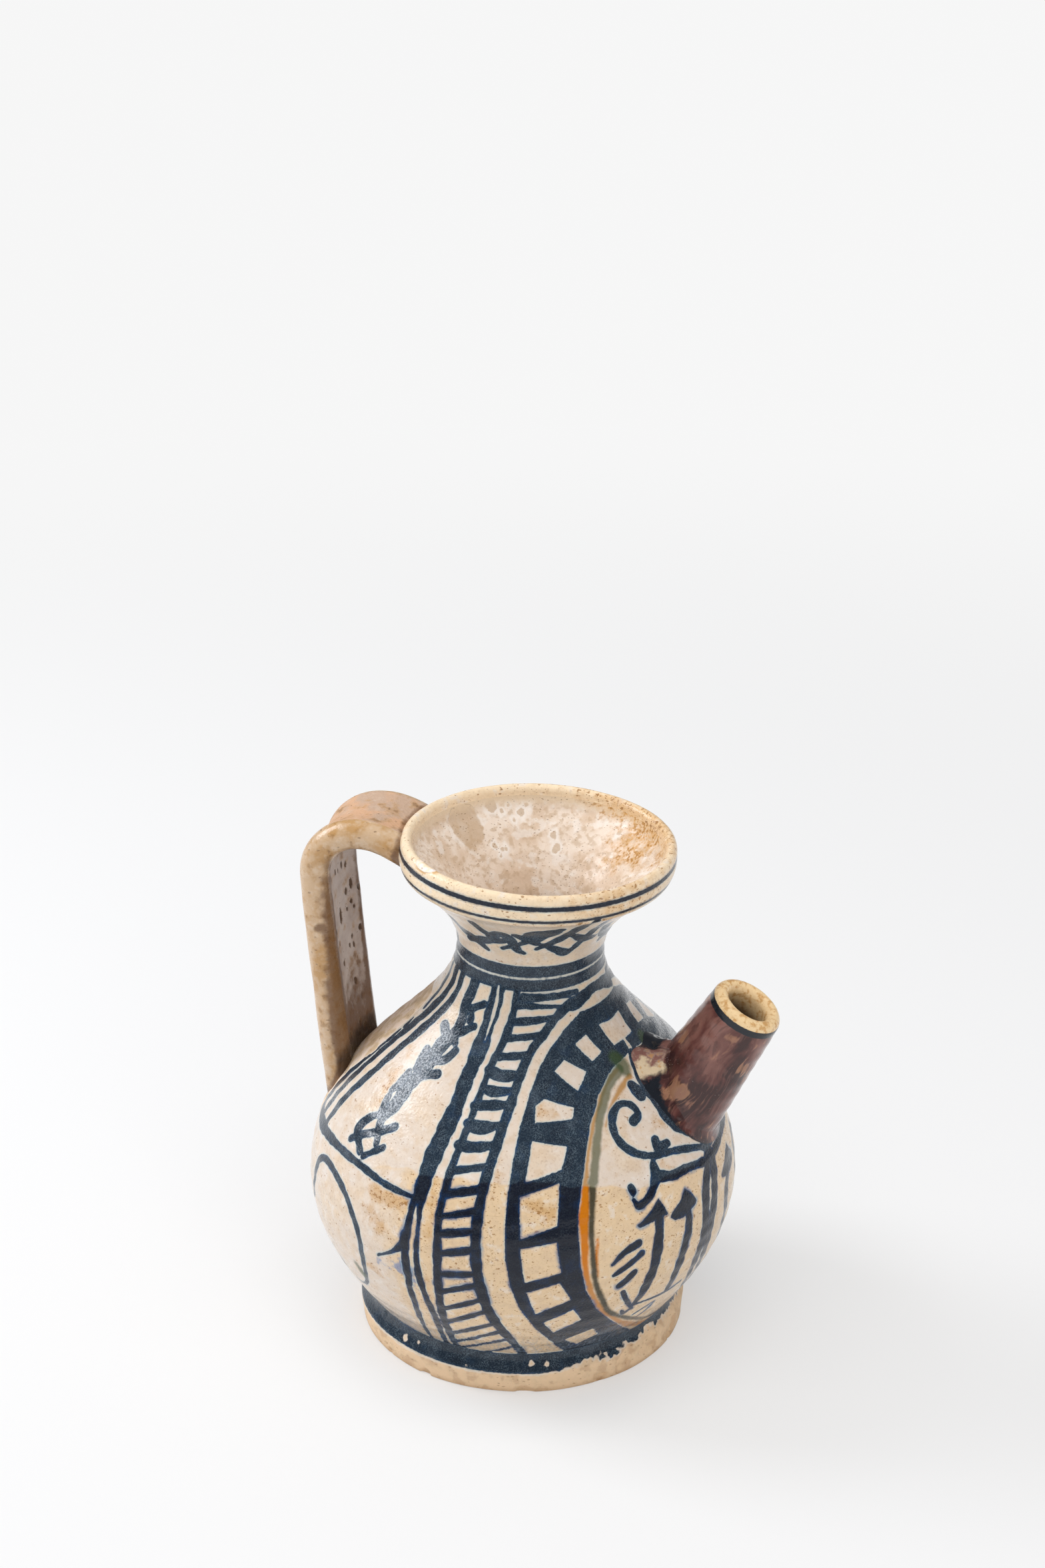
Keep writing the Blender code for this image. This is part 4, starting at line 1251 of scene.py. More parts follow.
class GeometryBook(NodeBook):
    """Writes one geometry tree with named inputs, and runs it on a helper object."""

    def __init__(self, name: str) -> None:
        """Start a tree that takes and gives geometry."""
        super().__init__(bpy.data.node_groups.new(name, "GeometryNodeTree"))
        self.sockets: dict[str, str] = {}
        for side in ("INPUT", "OUTPUT"):
            self.tree.interface.new_socket("Geometry", in_out=side, socket_type="NodeSocketGeometry")
        self.entry = self.tree.nodes.new("NodeGroupInput")
        self.exit = self.tree.nodes.new("NodeGroupOutput")
        self.geometry = Wire(self, self.find(self.entry.outputs, "Geometry"))
        self.place = self.node("GeometryNodeInputPosition")
        self.normal = self.node("GeometryNodeInputNormal")

    def input(self, name: str, kind: str = "NodeSocketFloat") -> Wire:
        """Add a named input and return it."""
        socket = self.tree.interface.new_socket(name, in_out="INPUT", socket_type=kind)
        self.sockets[name] = socket.identifier
        return Wire(self, self.find(self.entry.outputs, name))

    def inputs(self, *names: str) -> list[Wire]:
        """Add several named inputs that take numbers."""
        return [self.input(name) for name in names]

    def welded(self, mesh: Wire) -> Wire:
        """Return a mesh with its doubled points merged."""
        return self.node("GeometryNodeMergeByDistance", {}, {"Geometry": mesh, "Distance": WELD})

    def moved(self, mesh: Wire, offset: Wire) -> Wire:
        """Return a mesh with its points moved."""
        return self.node("GeometryNodeSetPosition", {}, {"Geometry": mesh, "Offset": offset})

    def pushed(self, mesh: Wire, height: Wire) -> Wire:
        """Return a mesh with its points moved along their normals."""
        sockets = {0: self.normal, "Scale": height}
        return self.moved(mesh, self.node("ShaderNodeVectorMath", {"operation": "SCALE"}, sockets))

    def dented(self, mesh: Wire, mask: Value) -> Wire:
        """Give a smooth mesh the unevenness of the hand and the pits of the firing.

        Args:
            mesh: Geometry to work on.
            mask: 1 where there may be pits, 0 where there are none.

        Returns:
            The worked geometry, with the depth share of its pits in the attribute "pit".
        """
        lump, pit_depth, pit_size, pit_share, stretch, seed = self.inputs(*HAND_INPUTS)
        broad = self.noise(self.place, 26.0, 1.0, seed)
        fine = self.noise(self.place, 5.0, 2.0, seed)
        drawn = self.node("ShaderNodeCombineXYZ", {}, {"X": 1.0, "Y": 1.0, "Z": 1.0 / stretch})
        ripple = {"Vector": self.place, "Scale": 1.0 / (1.6 * MM), "Detail": 2.0}
        wander = self.node("ShaderNodeTexNoise", {}, ripple, 1)
        bent = self.vector("MULTIPLY_ADD", wander, (0.9 * MM,) * 3, self.place)
        pits = self.cells(self.vector("MULTIPLY", bent, drawn), 1.0 / pit_size)
        split = self.node("FunctionNodeSeparateColor", {}, {"Color": pits.output("Color")}, "Red")
        hollow = (pits / (0.07 + split.output("Green") * 0.3)).fall(0.4, 1.0)
        hollow = hollow * (split + pit_share).rise(1.0, 1.02) * mask
        push = ((broad - 0.5) * 2.0 + (fine - 0.5) * 0.35) * lump - hollow * pit_depth
        kept = self.node("GeometryNodeStoreNamedAttribute", {"data_type": "FLOAT", "domain": "POINT"},
                         {"Geometry": mesh, "Name": "pit", "Value": hollow})
        return self.pushed(kept, push)

    def finish(self, mesh: Wire, material: Wire) -> None:
        """Smooth the mesh but for its corners, give it its material and end the tree."""
        smooth = self.node("GeometryNodeSetShadeSmooth", {"domain": "FACE"}, {"Geometry": mesh})
        angle = self.node("GeometryNodeInputMeshEdgeAngle", {}, {}, "Unsigned Angle")
        limits = {"A": angle, "B": CORNER_ANGLE}
        corner = self.node("FunctionNodeCompare", {"operation": "GREATER_THAN"}, limits)
        sharp = self.node("GeometryNodeSetShadeSmooth", {"domain": "EDGE"},
                          {"Geometry": smooth, "Selection": corner, "Shade Smooth": False})
        whole = self.node("GeometryNodeRealizeInstances", {}, {"Geometry": sharp})
        dressed = self.node("GeometryNodeSetMaterial", {}, {"Geometry": whole, "Material": material})
        self.feed(self.exit, "Geometry", dressed)

    def run(self, carrier: bpy.types.Object, values: dict[str, Any]) -> bpy.types.Mesh:
        """Run the tree on a carrier and take its mesh.

        Args:
            carrier: Helper object that holds the tree's incoming geometry; it is removed.
            values: Values of the named inputs.

        Returns:
            The mesh that the tree makes.
        """
        modifier = carrier.modifiers.new(self.tree.name, "NODES")
        modifier.node_group = self.tree
        for name, value in values.items():
            modifier[self.sockets[name]] = value
        mesh = taken_mesh(carrier)
        mesh.materials.clear()
        if "Material" in values:
            mesh.materials.append(values["Material"])
        mesh.polygons.foreach_set("material_index", np.zeros(len(mesh.polygons), int))
        return mesh


def helper_object(name: str, data: bpy.types.ID) -> bpy.types.Object:
    """Return a new object of some data, linked to the scene."""
    thing = bpy.data.objects.new(name, data)
    bpy.context.scene.collection.objects.link(thing)
    return thing


def taken_mesh(thing: bpy.types.Object) -> bpy.types.Mesh:
    """Return the mesh that an object's modifiers make, and remove the object."""
    bpy.context.view_layer.update()
    evaluated = thing.evaluated_get(bpy.context.evaluated_depsgraph_get())
    mesh = bpy.data.meshes.new_from_object(evaluated)
    bpy.data.objects.remove(thing, do_unlink=True)
    return mesh


@dataclass(frozen=True)
class Hand:
    """How even the potter's hand and the firing left a piece, in millimetres."""

    lump: float = 0.22
    pit_depth: float = 0.12
    pit_size: float = 5.0
    pit_share: float = 0.12
    pit_stretch: float = 1.0
    ring_height: float = 0.07
    ring_step: float = 5.2
    seed: float = 3.0

    def values(self) -> dict[str, float]:
        """Return the values of a tree's inputs."""
        lengths = [value * MM for value in (self.lump, self.pit_depth, self.pit_size)]
        return dict(zip(HAND_INPUTS, (*lengths, self.pit_share, self.pit_stretch, self.seed)))


SMOOTH_HAND = Hand(lump=0.0, pit_depth=0.0, ring_height=0.0)


class Wheel:
    """The potter's wheel as a geometry tree: it turns a line of points about Z and lets the clay lean."""

    def __init__(self) -> None:
        """Build the tree."""
        self.book = book = GeometryBook("potters_wheel")
        columns = book.input("Columns", "NodeSocketInt")
        shift, tilt, rim, ring_height, ring_step = book.inputs(
            "Rim shift", "Rim tilt", "Rim height", "Ring height", "Ring step"
        )
        material = book.input("Material", "NodeSocketMaterial")
        rows = book.node("GeometryNodeAttributeDomainSize", {"component": "MESH"},
                         {"Geometry": book.geometry}, "Point Count")
        grid = book.node("GeometryNodeMeshGrid", {}, {
            "Size X": 1.0, "Size Y": 1.0, "Vertices X": columns + 1, "Vertices Y": rows,
        }, "Mesh")
        index = book.node("GeometryNodeInputIndex")
        row = book.math("FLOORED_MODULO", index, rows)
        angle = book.math("FLOOR", index / rows) / columns * (2.0 * math.pi) + math.pi
        on_line = book.node("GeometryNodeSampleIndex", {"data_type": "FLOAT_VECTOR", "domain": "POINT"},
                            {"Geometry": book.geometry, "Value": book.place, "Index": row})
        radius = book.part(on_line, "X")
        turned = book.node("ShaderNodeCombineXYZ", {}, {
            "X": radius * book.math("COSINE", angle),
            "Y": radius * book.math("SINE", angle),
            "Z": radius.output("Z"),
        })
        mesh = book.node("GeometryNodeSetPosition", {}, {"Geometry": grid, "Position": turned})
        mesh = book.dented(book.welded(mesh), 1.0)
        mesh = self.leaned(self.ringed(mesh, ring_height, ring_step), shift, tilt, rim)
        book.finish(mesh, material)

    def ringed(self, mesh: Wire, height: Wire, step: Wire) -> Wire:
        """Return the mesh with the faint rings that the fingers left."""
        book = self.book
        drift = book.node("ShaderNodeTexNoise", {}, {"Scale": 1.0 / (40.0 * MM), "Detail": 0.0})
        wave = book.math("SINE", book.part(book.place, "Z") / step * (2.0 * math.pi) + drift * 5.0)
        return book.pushed(mesh, wave * height)

    def leaned(self, mesh: Wire, shift: Wire, tilt: Wire, rim: Wire) -> Wire:
        """Return the mesh as the clay settled."""
        book = self.book
        across = book.part(book.place, "X")
        share = (book.math("MAXIMUM", across.output("Z"), 0.0) / rim) ** float(FORM.lean_power)
        return book.moved(mesh, book.node("ShaderNodeCombineXYZ", {}, {
            "X": share * shift, "Y": 0.0, "Z": share * tilt * across * -1.0,
        }))

    def turn(
        self,
        name: str,
        line: Points,
        columns: int,
        hand: Hand,
        material: bpy.types.Material | None,
        leaning: bool,
    ) -> bpy.types.Mesh:
        """Turn a line of radius and height.

        Args:
            name: Name of the piece.
            line: Points that run up the outside, over the top and down the inside.
            columns: Steps of the turn.
            hand: Evenness of the piece.
            material: Material of the piece, or none for a tool.
            leaning: Whether the piece leans with the vessel.

        Returns:
            The turned mesh in metres.
        """
        wire = bpy.data.meshes.new(name + "_line")
        wire.from_pydata([(r * MM, 0.0, z * MM) for r, z in line], [], [])
        values = {
            "Columns": columns,
            "Rim shift": FORM.rim_shift * MM * leaning,
            "Rim tilt": FORM.rim_tilt * leaning,
            "Rim height": FORM.rim_height * MM,
            "Ring height": hand.ring_height * MM,
            "Ring step": hand.ring_step * MM,
            **hand.values(),
        }
        if material is not None:
            values["Material"] = material
        mesh = self.book.run(helper_object(name + "_line", wire), values)
        bpy.data.meshes.remove(wire)
        return mesh


def vertex_values(mesh: bpy.types.Mesh, kind: str) -> Points:
    """Return the places ("co") or the normals ("normal") of a mesh's vertices, in metres."""
    flat = np.empty(len(mesh.vertices) * 3)
    mesh.vertices.foreach_get(kind, flat)
    return flat.reshape(-1, 3)


def vertex_places(mesh: bpy.types.Mesh) -> Points:
    """Return a mesh's vertices in millimetres."""
    return vertex_values(mesh, "co") / MM


def move_vertices(mesh: bpy.types.Mesh, points: Points) -> None:
    """Put a mesh's vertices at points in millimetres."""
    mesh.vertices.foreach_set("co", (points * MM).ravel())
    mesh.update()


def store(mesh: bpy.types.Mesh, name: str, values: Points | float) -> None:
    """Keep a number for each vertex of a mesh, or one for all, held within the reach of marks."""
    attribute = mesh.attributes.get(name) or mesh.attributes.new(name, "FLOAT", "POINT")
    held = np.clip(np.broadcast_to(values, len(mesh.vertices)), -REACH, REACH)
    attribute.data.foreach_set("value", held.astype(np.float32))


def ragged(points: Points, size: float, seed: float) -> Points:
    """Return noise from -1 to 1 at points, with lumps of a size in millimetres."""
    offset = Vector((seed, 2.0 * seed, 3.0 * seed))
    return np.array([noise.noise(Vector(point) / size + offset) for point in points.tolist()])


def wheel_places(points: Points) -> tuple[Points, Points, Points]:
    """Return turn, height and depth under the skin of points on the leaned vessel.

    Args:
        points: Points in millimetres.

    Returns:
        Turns, heights, and how far each point lies inside the skin.
    """
    across, along, height = FORM.upright(points).T
    return -np.degrees(np.arctan2(along, across)), height, FORM.radius(height) - np.hypot(across, along)


def spot_depth(
    turn: Points, height: Points, spots: Sequence[Knot], around: Points | float, flat: float
) -> Points:
    """Measure how deep places lie inside the nearest of some spots.

    Args:
        turn: Turn of each place.
        height: Height of each place.
        spots: Turn, height and radius of each spot.
        around: Radius of the vessel at the places.
        flat: How many times wider than high the spots are.

    Returns:
        The depths in millimetres, negative outside the spots.
    """
    depths = []
    for spot_turn, spot_height, radius in spots:
        along = ((turn - spot_turn + 180.0) % 360.0 - 180.0) * DEGREE * around
        depths.append(radius - np.hypot(along, flat * (height - spot_height)))
    return np.max(depths, axis=0)


def paint_skin(mesh: bpy.types.Mesh, ornament: Ornament) -> tuple[Points, Points, Points]:
    """Lay the ornament on the outside of a piece as attributes.

    Args:
        mesh: Mesh of the piece.
        ornament: The ornament.

    Returns:
        Turn, height and depth under the skin of each vertex.
    """
    turn, height, depth = wheel_places(vertex_places(mesh))
    outside = depth < SKIN_DEPTH
    for paint, values in ornament.coverage(turn[outside], height[outside]).items():
        whole = np.full(len(turn), -REACH)
        whole[outside] = values
        store(mesh, paint, whole)
    return turn, height, depth


def present(node: str, mesh: bpy.types.Mesh) -> bpy.types.Object:
    """Show a finished mesh as the piece that stands for a solid.

    Args:
        node: Node of the solid.
        mesh: Mesh of the piece, in place.

    Returns:
        The piece.
    """
    mesh.name = name = node + "_glazed"
    piece = helper_object(name, mesh)
    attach(piece, BODY)
    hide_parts(node)
    LOG.info("%s: %d vertices, %d faces", name, len(mesh.vertices), len(mesh.polygons))
    return piece


def carve(mesh: bpy.types.Mesh, cutter: bpy.types.Mesh) -> bpy.types.Mesh:
    """Cut one closed mesh with another.

    Args:
        mesh: Mesh to cut; it is replaced.
        cutter: Mesh that cuts.

    Returns:
        The cut mesh.
    """
    thing = helper_object("carved", mesh)
    tool = helper_object("tool", cutter)
    boolean = thing.modifiers.new("carve", "BOOLEAN")
    boolean.operation = "DIFFERENCE"
    boolean.solver = "EXACT"
    boolean.object = tool
    result = taken_mesh(thing)
    bpy.data.objects.remove(tool, do_unlink=True)
    return result


@dataclass
class Foot:
    """The foot disc: bare buff edge, worn and chipped at the front, under a dark band."""

    wheel: Wheel
    ornament: Ornament
    columns: int = 560
    step: float = 0.5
    hand: Hand = Hand(lump=0.3, ring_height=0.03, pit_depth=0.4, pit_share=0.3)
    chips: tuple[Knot, ...] = (
        (-12.0, 4.0, 4.5), (8.0, 4.0, 5.0), (22.0, 5.5, 4.5), (34.0, 5.0, 4.0), (44.0, 1.5, 2.5),
        (72.0, 0.5, 3.0), (108.0, 1.0, 2.5), (126.0, 1.5, 2.0),
    )
    chip_bite: float = 0.9
    chip_flat: float = 1.3
    nicks: tuple[Knot, ...] = (
        (69.0, 9.6, 0.8), (63.5, 9.4, 0.9), (118.0, 9.0, 0.9), (112.0, 9.4, 0.7), (92.0, 8.0, 0.4),
    )
    band_turns: tuple[float, ...] = (-180.0, -70.0, -30.0, 5.0, 24.0, 36.0, 45.0, 56.0, 64.0, 180.0)
    band_edges: tuple[float, ...] = (6.8, 7.4, 9.6, 10.4, 10.0, 9.0, 8.4, 7.8, 6.9, 6.8)
    ragged_until: Place = (44.0, 62.0)

    def line(self) -> Points:
        """Return the foot's section from the middle of its base to the middle of its floor."""
        form = FORM
        seat = form.foot_waist - form.seat_width
        waist = np.array([form.foot_waist, form.foot_height])
        edge = np.array([form.foot_edge, form.foot_edge_height])
        hollow = np.array([form.foot_waist, 0.5 * (form.foot_height + form.foot_edge_height)])
        toe = np.array([form.foot_base, 0.0])
        toe_side = np.array([0.5 * (form.foot_base + form.foot_edge), form.foot_base_round])
        side = np.vstack([
            bezier(toe, toe + [0.6, 0.0], toe_side - [0.0, 0.8], toe_side, 6),
            bezier(toe_side, toe_side + [0.3, 2.0], edge - [0.0, 1.6], edge, 8)[1:],
            bezier(edge, hollow, hollow, waist, 10)[1:],
        ])
        share = np.linspace(1.0, 0.0, 12)
        dish = np.column_stack([
            form.floor_flat + (seat - form.floor_flat) * share,
            form.floor + (form.foot_height - form.floor) * share**3,
        ])
        base = np.column_stack([np.linspace(0.0, form.foot_base, 9), np.zeros(9)])
        return np.vstack([base[:-1], even(side, self.step), dish, [[0.0, form.floor]]])

    def build(self, finish: GlazeFinish) -> bpy.types.Object:
        """Turn, chip and paint the foot."""
        mesh = self.wheel.turn("foot", self.line(), self.columns, self.hand, finish.make(), False)
        points = vertex_places(mesh)
        turn, height, depth = wheel_places(points)
        rough = ragged(points, 4.0, 5.0)
        fine = ragged(points, 1.3, 9.0)
        chip = spot_depth(turn, height, self.chips, FORM.foot_edge, self.chip_flat) + 1.6 * rough + 0.5 * fine
        outer = (depth < 2.5) & (height < FORM.foot_height - 0.4)
        bite = np.where(outer, self.chip_bite * smooth_step(chip, 0.0, 1.2), 0.0)
        points[:, :2] *= (1.0 - bite / FORM.foot_edge)[:, None]
        standing = (height < 0.9) & (np.hypot(points[:, 0], points[:, 1]) < FORM.foot_base - 0.3)
        points[:, 2] = np.where(standing, 0.0, np.maximum(points[:, 2], 0.0))
        move_vertices(mesh, points)
        paint_skin(mesh, self.ornament)
        store(mesh, "warmth", -REACH)
        broken = 1.0 - 0.85 * smooth_step(turn, *self.ragged_until)
        edge = np.interp(turn, self.band_turns, self.band_edges) + broken * (1.5 * rough + 1.2 * fine)
        nick = spot_depth(turn, height, self.nicks, FORM.foot_edge, 1.0) + 0.5 * fine
        store(mesh, "bare", np.max([edge - height, nick, chip - 0.2], axis=0))
        return present("foot", mesh)


@dataclass
class Globe:
    """The two thrown halves of the body, which meet at a seam under mended glaze."""

    wheel: Wheel
    ornament: Ornament
    columns: int = 720
    step: float = 0.56
    inner_step: float = 3.4
    hand: Hand = Hand()
    mend_turns: tuple[float, ...] = (
        -180.0, -120.0, -60.0, 0.0, 38.0, 49.0, 60.0, 73.0, 89.0, 106.0, 125.0, 180.0,
    )
    mend_heights: tuple[float, ...] = (72.0, 74.0, 71.0, 69.5, 71.0, 73.5, 76.0, 77.0, 76.2, 75.5, 71.0, 72.0)
    mend_waves: tuple[Place, ...] = ((0.5, 17.0), (0.3, 41.0))
    pale_turns: Place = (98.0, 112.0)
    panel_heights: tuple[float, ...] = (67.0, 83.0, 91.0, 110.0, 120.0)
    panel_turns: tuple[float, ...] = (166.0, 161.5, 157.0, 157.0, 153.0)
    panel_base: float = 66.0
    seam_play: float = 0.22

    def lower_line(self) -> Points:
        """Return the section of the lower half."""
        base = FORM.foot_height
        outer = even(FORM.wall(base, FORM.seam_height, 0.0), self.step)
        inner = even(FORM.wall(base + FORM.body_heel, FORM.seam_height, FORM.body_wall), self.inner_step)
        heel = np.array([[FORM.foot_waist - FORM.seat_width, base]])
        return np.vstack([outer, inner[::-1], heel, outer[:1]])

    def upper_line(self) -> Points:
        """Return the section of the shoulder half."""
        outer = even(FORM.wall(FORM.seam_height, FORM.neck_joint, 0.0), self.step)
        inner = even(FORM.wall(FORM.seam_height, FORM.neck_joint, FORM.body_wall), self.inner_step)
        return np.vstack([outer, inner[::-1], outer[:1]])

    def close_seam(self, mesh: bpy.types.Mesh) -> None:
        """Bring the edge at the seam back to one level, so that the halves meet without a gap."""
        points = FORM.upright(vertex_places(mesh))
        edge = np.abs(points[:, 2] - FORM.seam_height) < self.seam_play
        points[edge, 2] = FORM.seam_height
        move_vertices(mesh, FORM.lean(points))

    def dress(self, mesh: bpy.types.Mesh) -> None:
        """Paint a half and mark its warm mended glaze and the bare panel behind the handle."""
        turn, height, depth = paint_skin(mesh, self.ornament)
        mend = np.interp(turn, self.mend_turns, self.mend_heights)
        mend += sum(swing * np.sin(np.radians(turn) * count) for swing, count in self.mend_waves)
        warmth = np.clip((mend - height) * 3.0, -REACH, REACH)
        pale = smooth_step(np.abs(turn), *self.pale_turns)
        store(mesh, "warmth", np.where(warmth > 0.0, warmth * (1.0 - 1.25 * pale), warmth))
        past = np.abs(turn) - np.interp(height, self.panel_heights, self.panel_turns)
        panel = np.minimum(past * DEGREE * FORM.radius(height), (height - self.panel_base) * 0.8)
        store(mesh, "bare", np.where(depth > SKIN_DEPTH, REACH, panel))

    def build(self, finish: GlazeFinish, bore: bpy.types.Mesh) -> list[bpy.types.Object]:
        """Turn and paint both halves, and pierce the shoulder for the spout.

        Args:
            finish: Finish of both halves.
            bore: Mesh of the hole that feeds the spout.

        Returns:
            The lower and the upper half.
        """
        material = finish.make()
        halves = {"lower_body": self.lower_line(), "upper_body": self.upper_line()}
        pieces = []
        for node, line in halves.items():
            mesh = self.wheel.turn(node, line, self.columns, self.hand, material, True)
            if node == "upper_body":
                mesh = carve(mesh, bore)
            self.close_seam(mesh)
            self.dress(mesh)
            pieces.append(present(node, mesh))
        return pieces


@dataclass
class Mouth:
    """Neck and funnel with a rolled lip, glazed outside and worn inside."""

    wheel: Wheel
    ornament: Ornament
    columns: int = 480
    step: float = 0.5
    inner_step: float = 0.8
    hand: Hand = Hand(pit_depth=0.25, pit_size=4.5, pit_share=0.14)
    rust_turn: float = -44.0
    rust_reach: float = 66.0
    lip_rust_turn: float = 38.0
    flake: Knot = (-148.0, 152.0, 6.6)
    craters: tuple[Knot, ...] = (
        (-131.0, 155.0, 2.2), (-126.0, 153.0, 0.9), (-122.5, 154.5, 0.6), (-116.0, 152.7, 1.2),
        (-113.0, 154.4, 0.9), (-120.0, 151.0, 0.7), (-97.0, 148.0, 1.3), (-93.6, 145.0, 1.4),
        (-134.7, 146.0, 0.8), (-130.0, 144.6, 0.6), (-127.4, 144.8, 0.7), (-132.0, 143.4, 0.6),
        (-60.0, 152.0, 1.0),
    )
    worn_flat: float = 1.2
    lip_chip: Knot = (129.0, 160.4, 4.6)
    lip_chip_flat: float = 3.0
    warm_from: float = 151.0
    chipped_from: float = 155.0
    rim_from: float = 155.6
    inside_depth: float = 3.0
    inside_top: float = 157.5

    def line(self) -> Points:
        """Return the section from the joint up the outside, over the lip and down the inside."""
        outer = even(FORM.wall(FORM.neck_joint, FORM.lip_base_height, 0.0), self.step)
        lip = even(FORM.lip_section(1.0), self.step)
        throat = FORM.wall(FORM.neck_joint, FORM.throat_height, FORM.body_wall)
        throat[:, 0] += (FORM.body_wall - FORM.mouth_wall) * np.linspace(0.0, 1.0, len(throat))
        funnel = FORM.wall(FORM.throat_height, FORM.lip_base_height, FORM.mouth_wall)[1:]
        turn_in = bezier(funnel[-1], funnel[-1] + [1.2, 1.6], lip[-1] - [0.3, 1.6], lip[-1], 8)[1:-1]
        inner = even(np.vstack([throat, funnel, turn_in]), self.inner_step)
        return np.vstack([outer, lip, inner[::-1], outer[:1]])

    def build(self, outside: GlazeFinish, inside: FunnelFinish) -> bpy.types.Object:
        """Turn the mouth, paint its outside and dress its inside.

        Args:
            outside: Finish of the neck and the lip.
            inside: Finish of the funnel.

        Returns:
            The piece.
        """
        mesh = self.wheel.turn("funnel_mouth", self.line(), self.columns, self.hand, outside.make(), True)
        turn, height, depth = paint_skin(mesh, self.ornament)
        around = FORM.radius(height)
        store(mesh, "warmth", (height - self.warm_from) * 1.5)
        chip = spot_depth(turn, height, [self.lip_chip], around, self.lip_chip_flat)
        store(mesh, "bare", np.where(height > self.chipped_from, chip, -REACH))
        off = np.abs(turn - self.rust_turn)
        inner_rust = 2.6 - 6.0 * off / self.rust_reach + (height - FORM.lip_base_height) * 0.22
        lip_rust = np.maximum(1.8 - np.abs(turn - self.lip_rust_turn) / 15.0, 2.6 - off / 18.0)
        rust = np.where(height > FORM.lip_base_height, lip_rust, -REACH)
        store(mesh, Paint.STAIN, np.where(depth > SKIN_DEPTH, inner_rust, rust))
        store(mesh, "flake", spot_depth(turn, height, [self.flake], around, self.worn_flat))
        store(mesh, "crater", spot_depth(turn, height, self.craters, around, self.worn_flat))
        store(mesh, "rim", height - self.rim_from)
        mesh.materials.append(inside.make())
        starts = np.empty(len(mesh.polygons), int)
        mesh.polygons.foreach_get("loop_start", starts)
        corners = np.empty(len(mesh.loops), int)
        mesh.loops.foreach_get("vertex_index", corners)
        within = (depth > self.inside_depth) & (height < self.inside_top)
        mesh.polygons.foreach_set("material_index", within[corners[starts]].astype(int))
        return present("funnel_mouth", mesh)


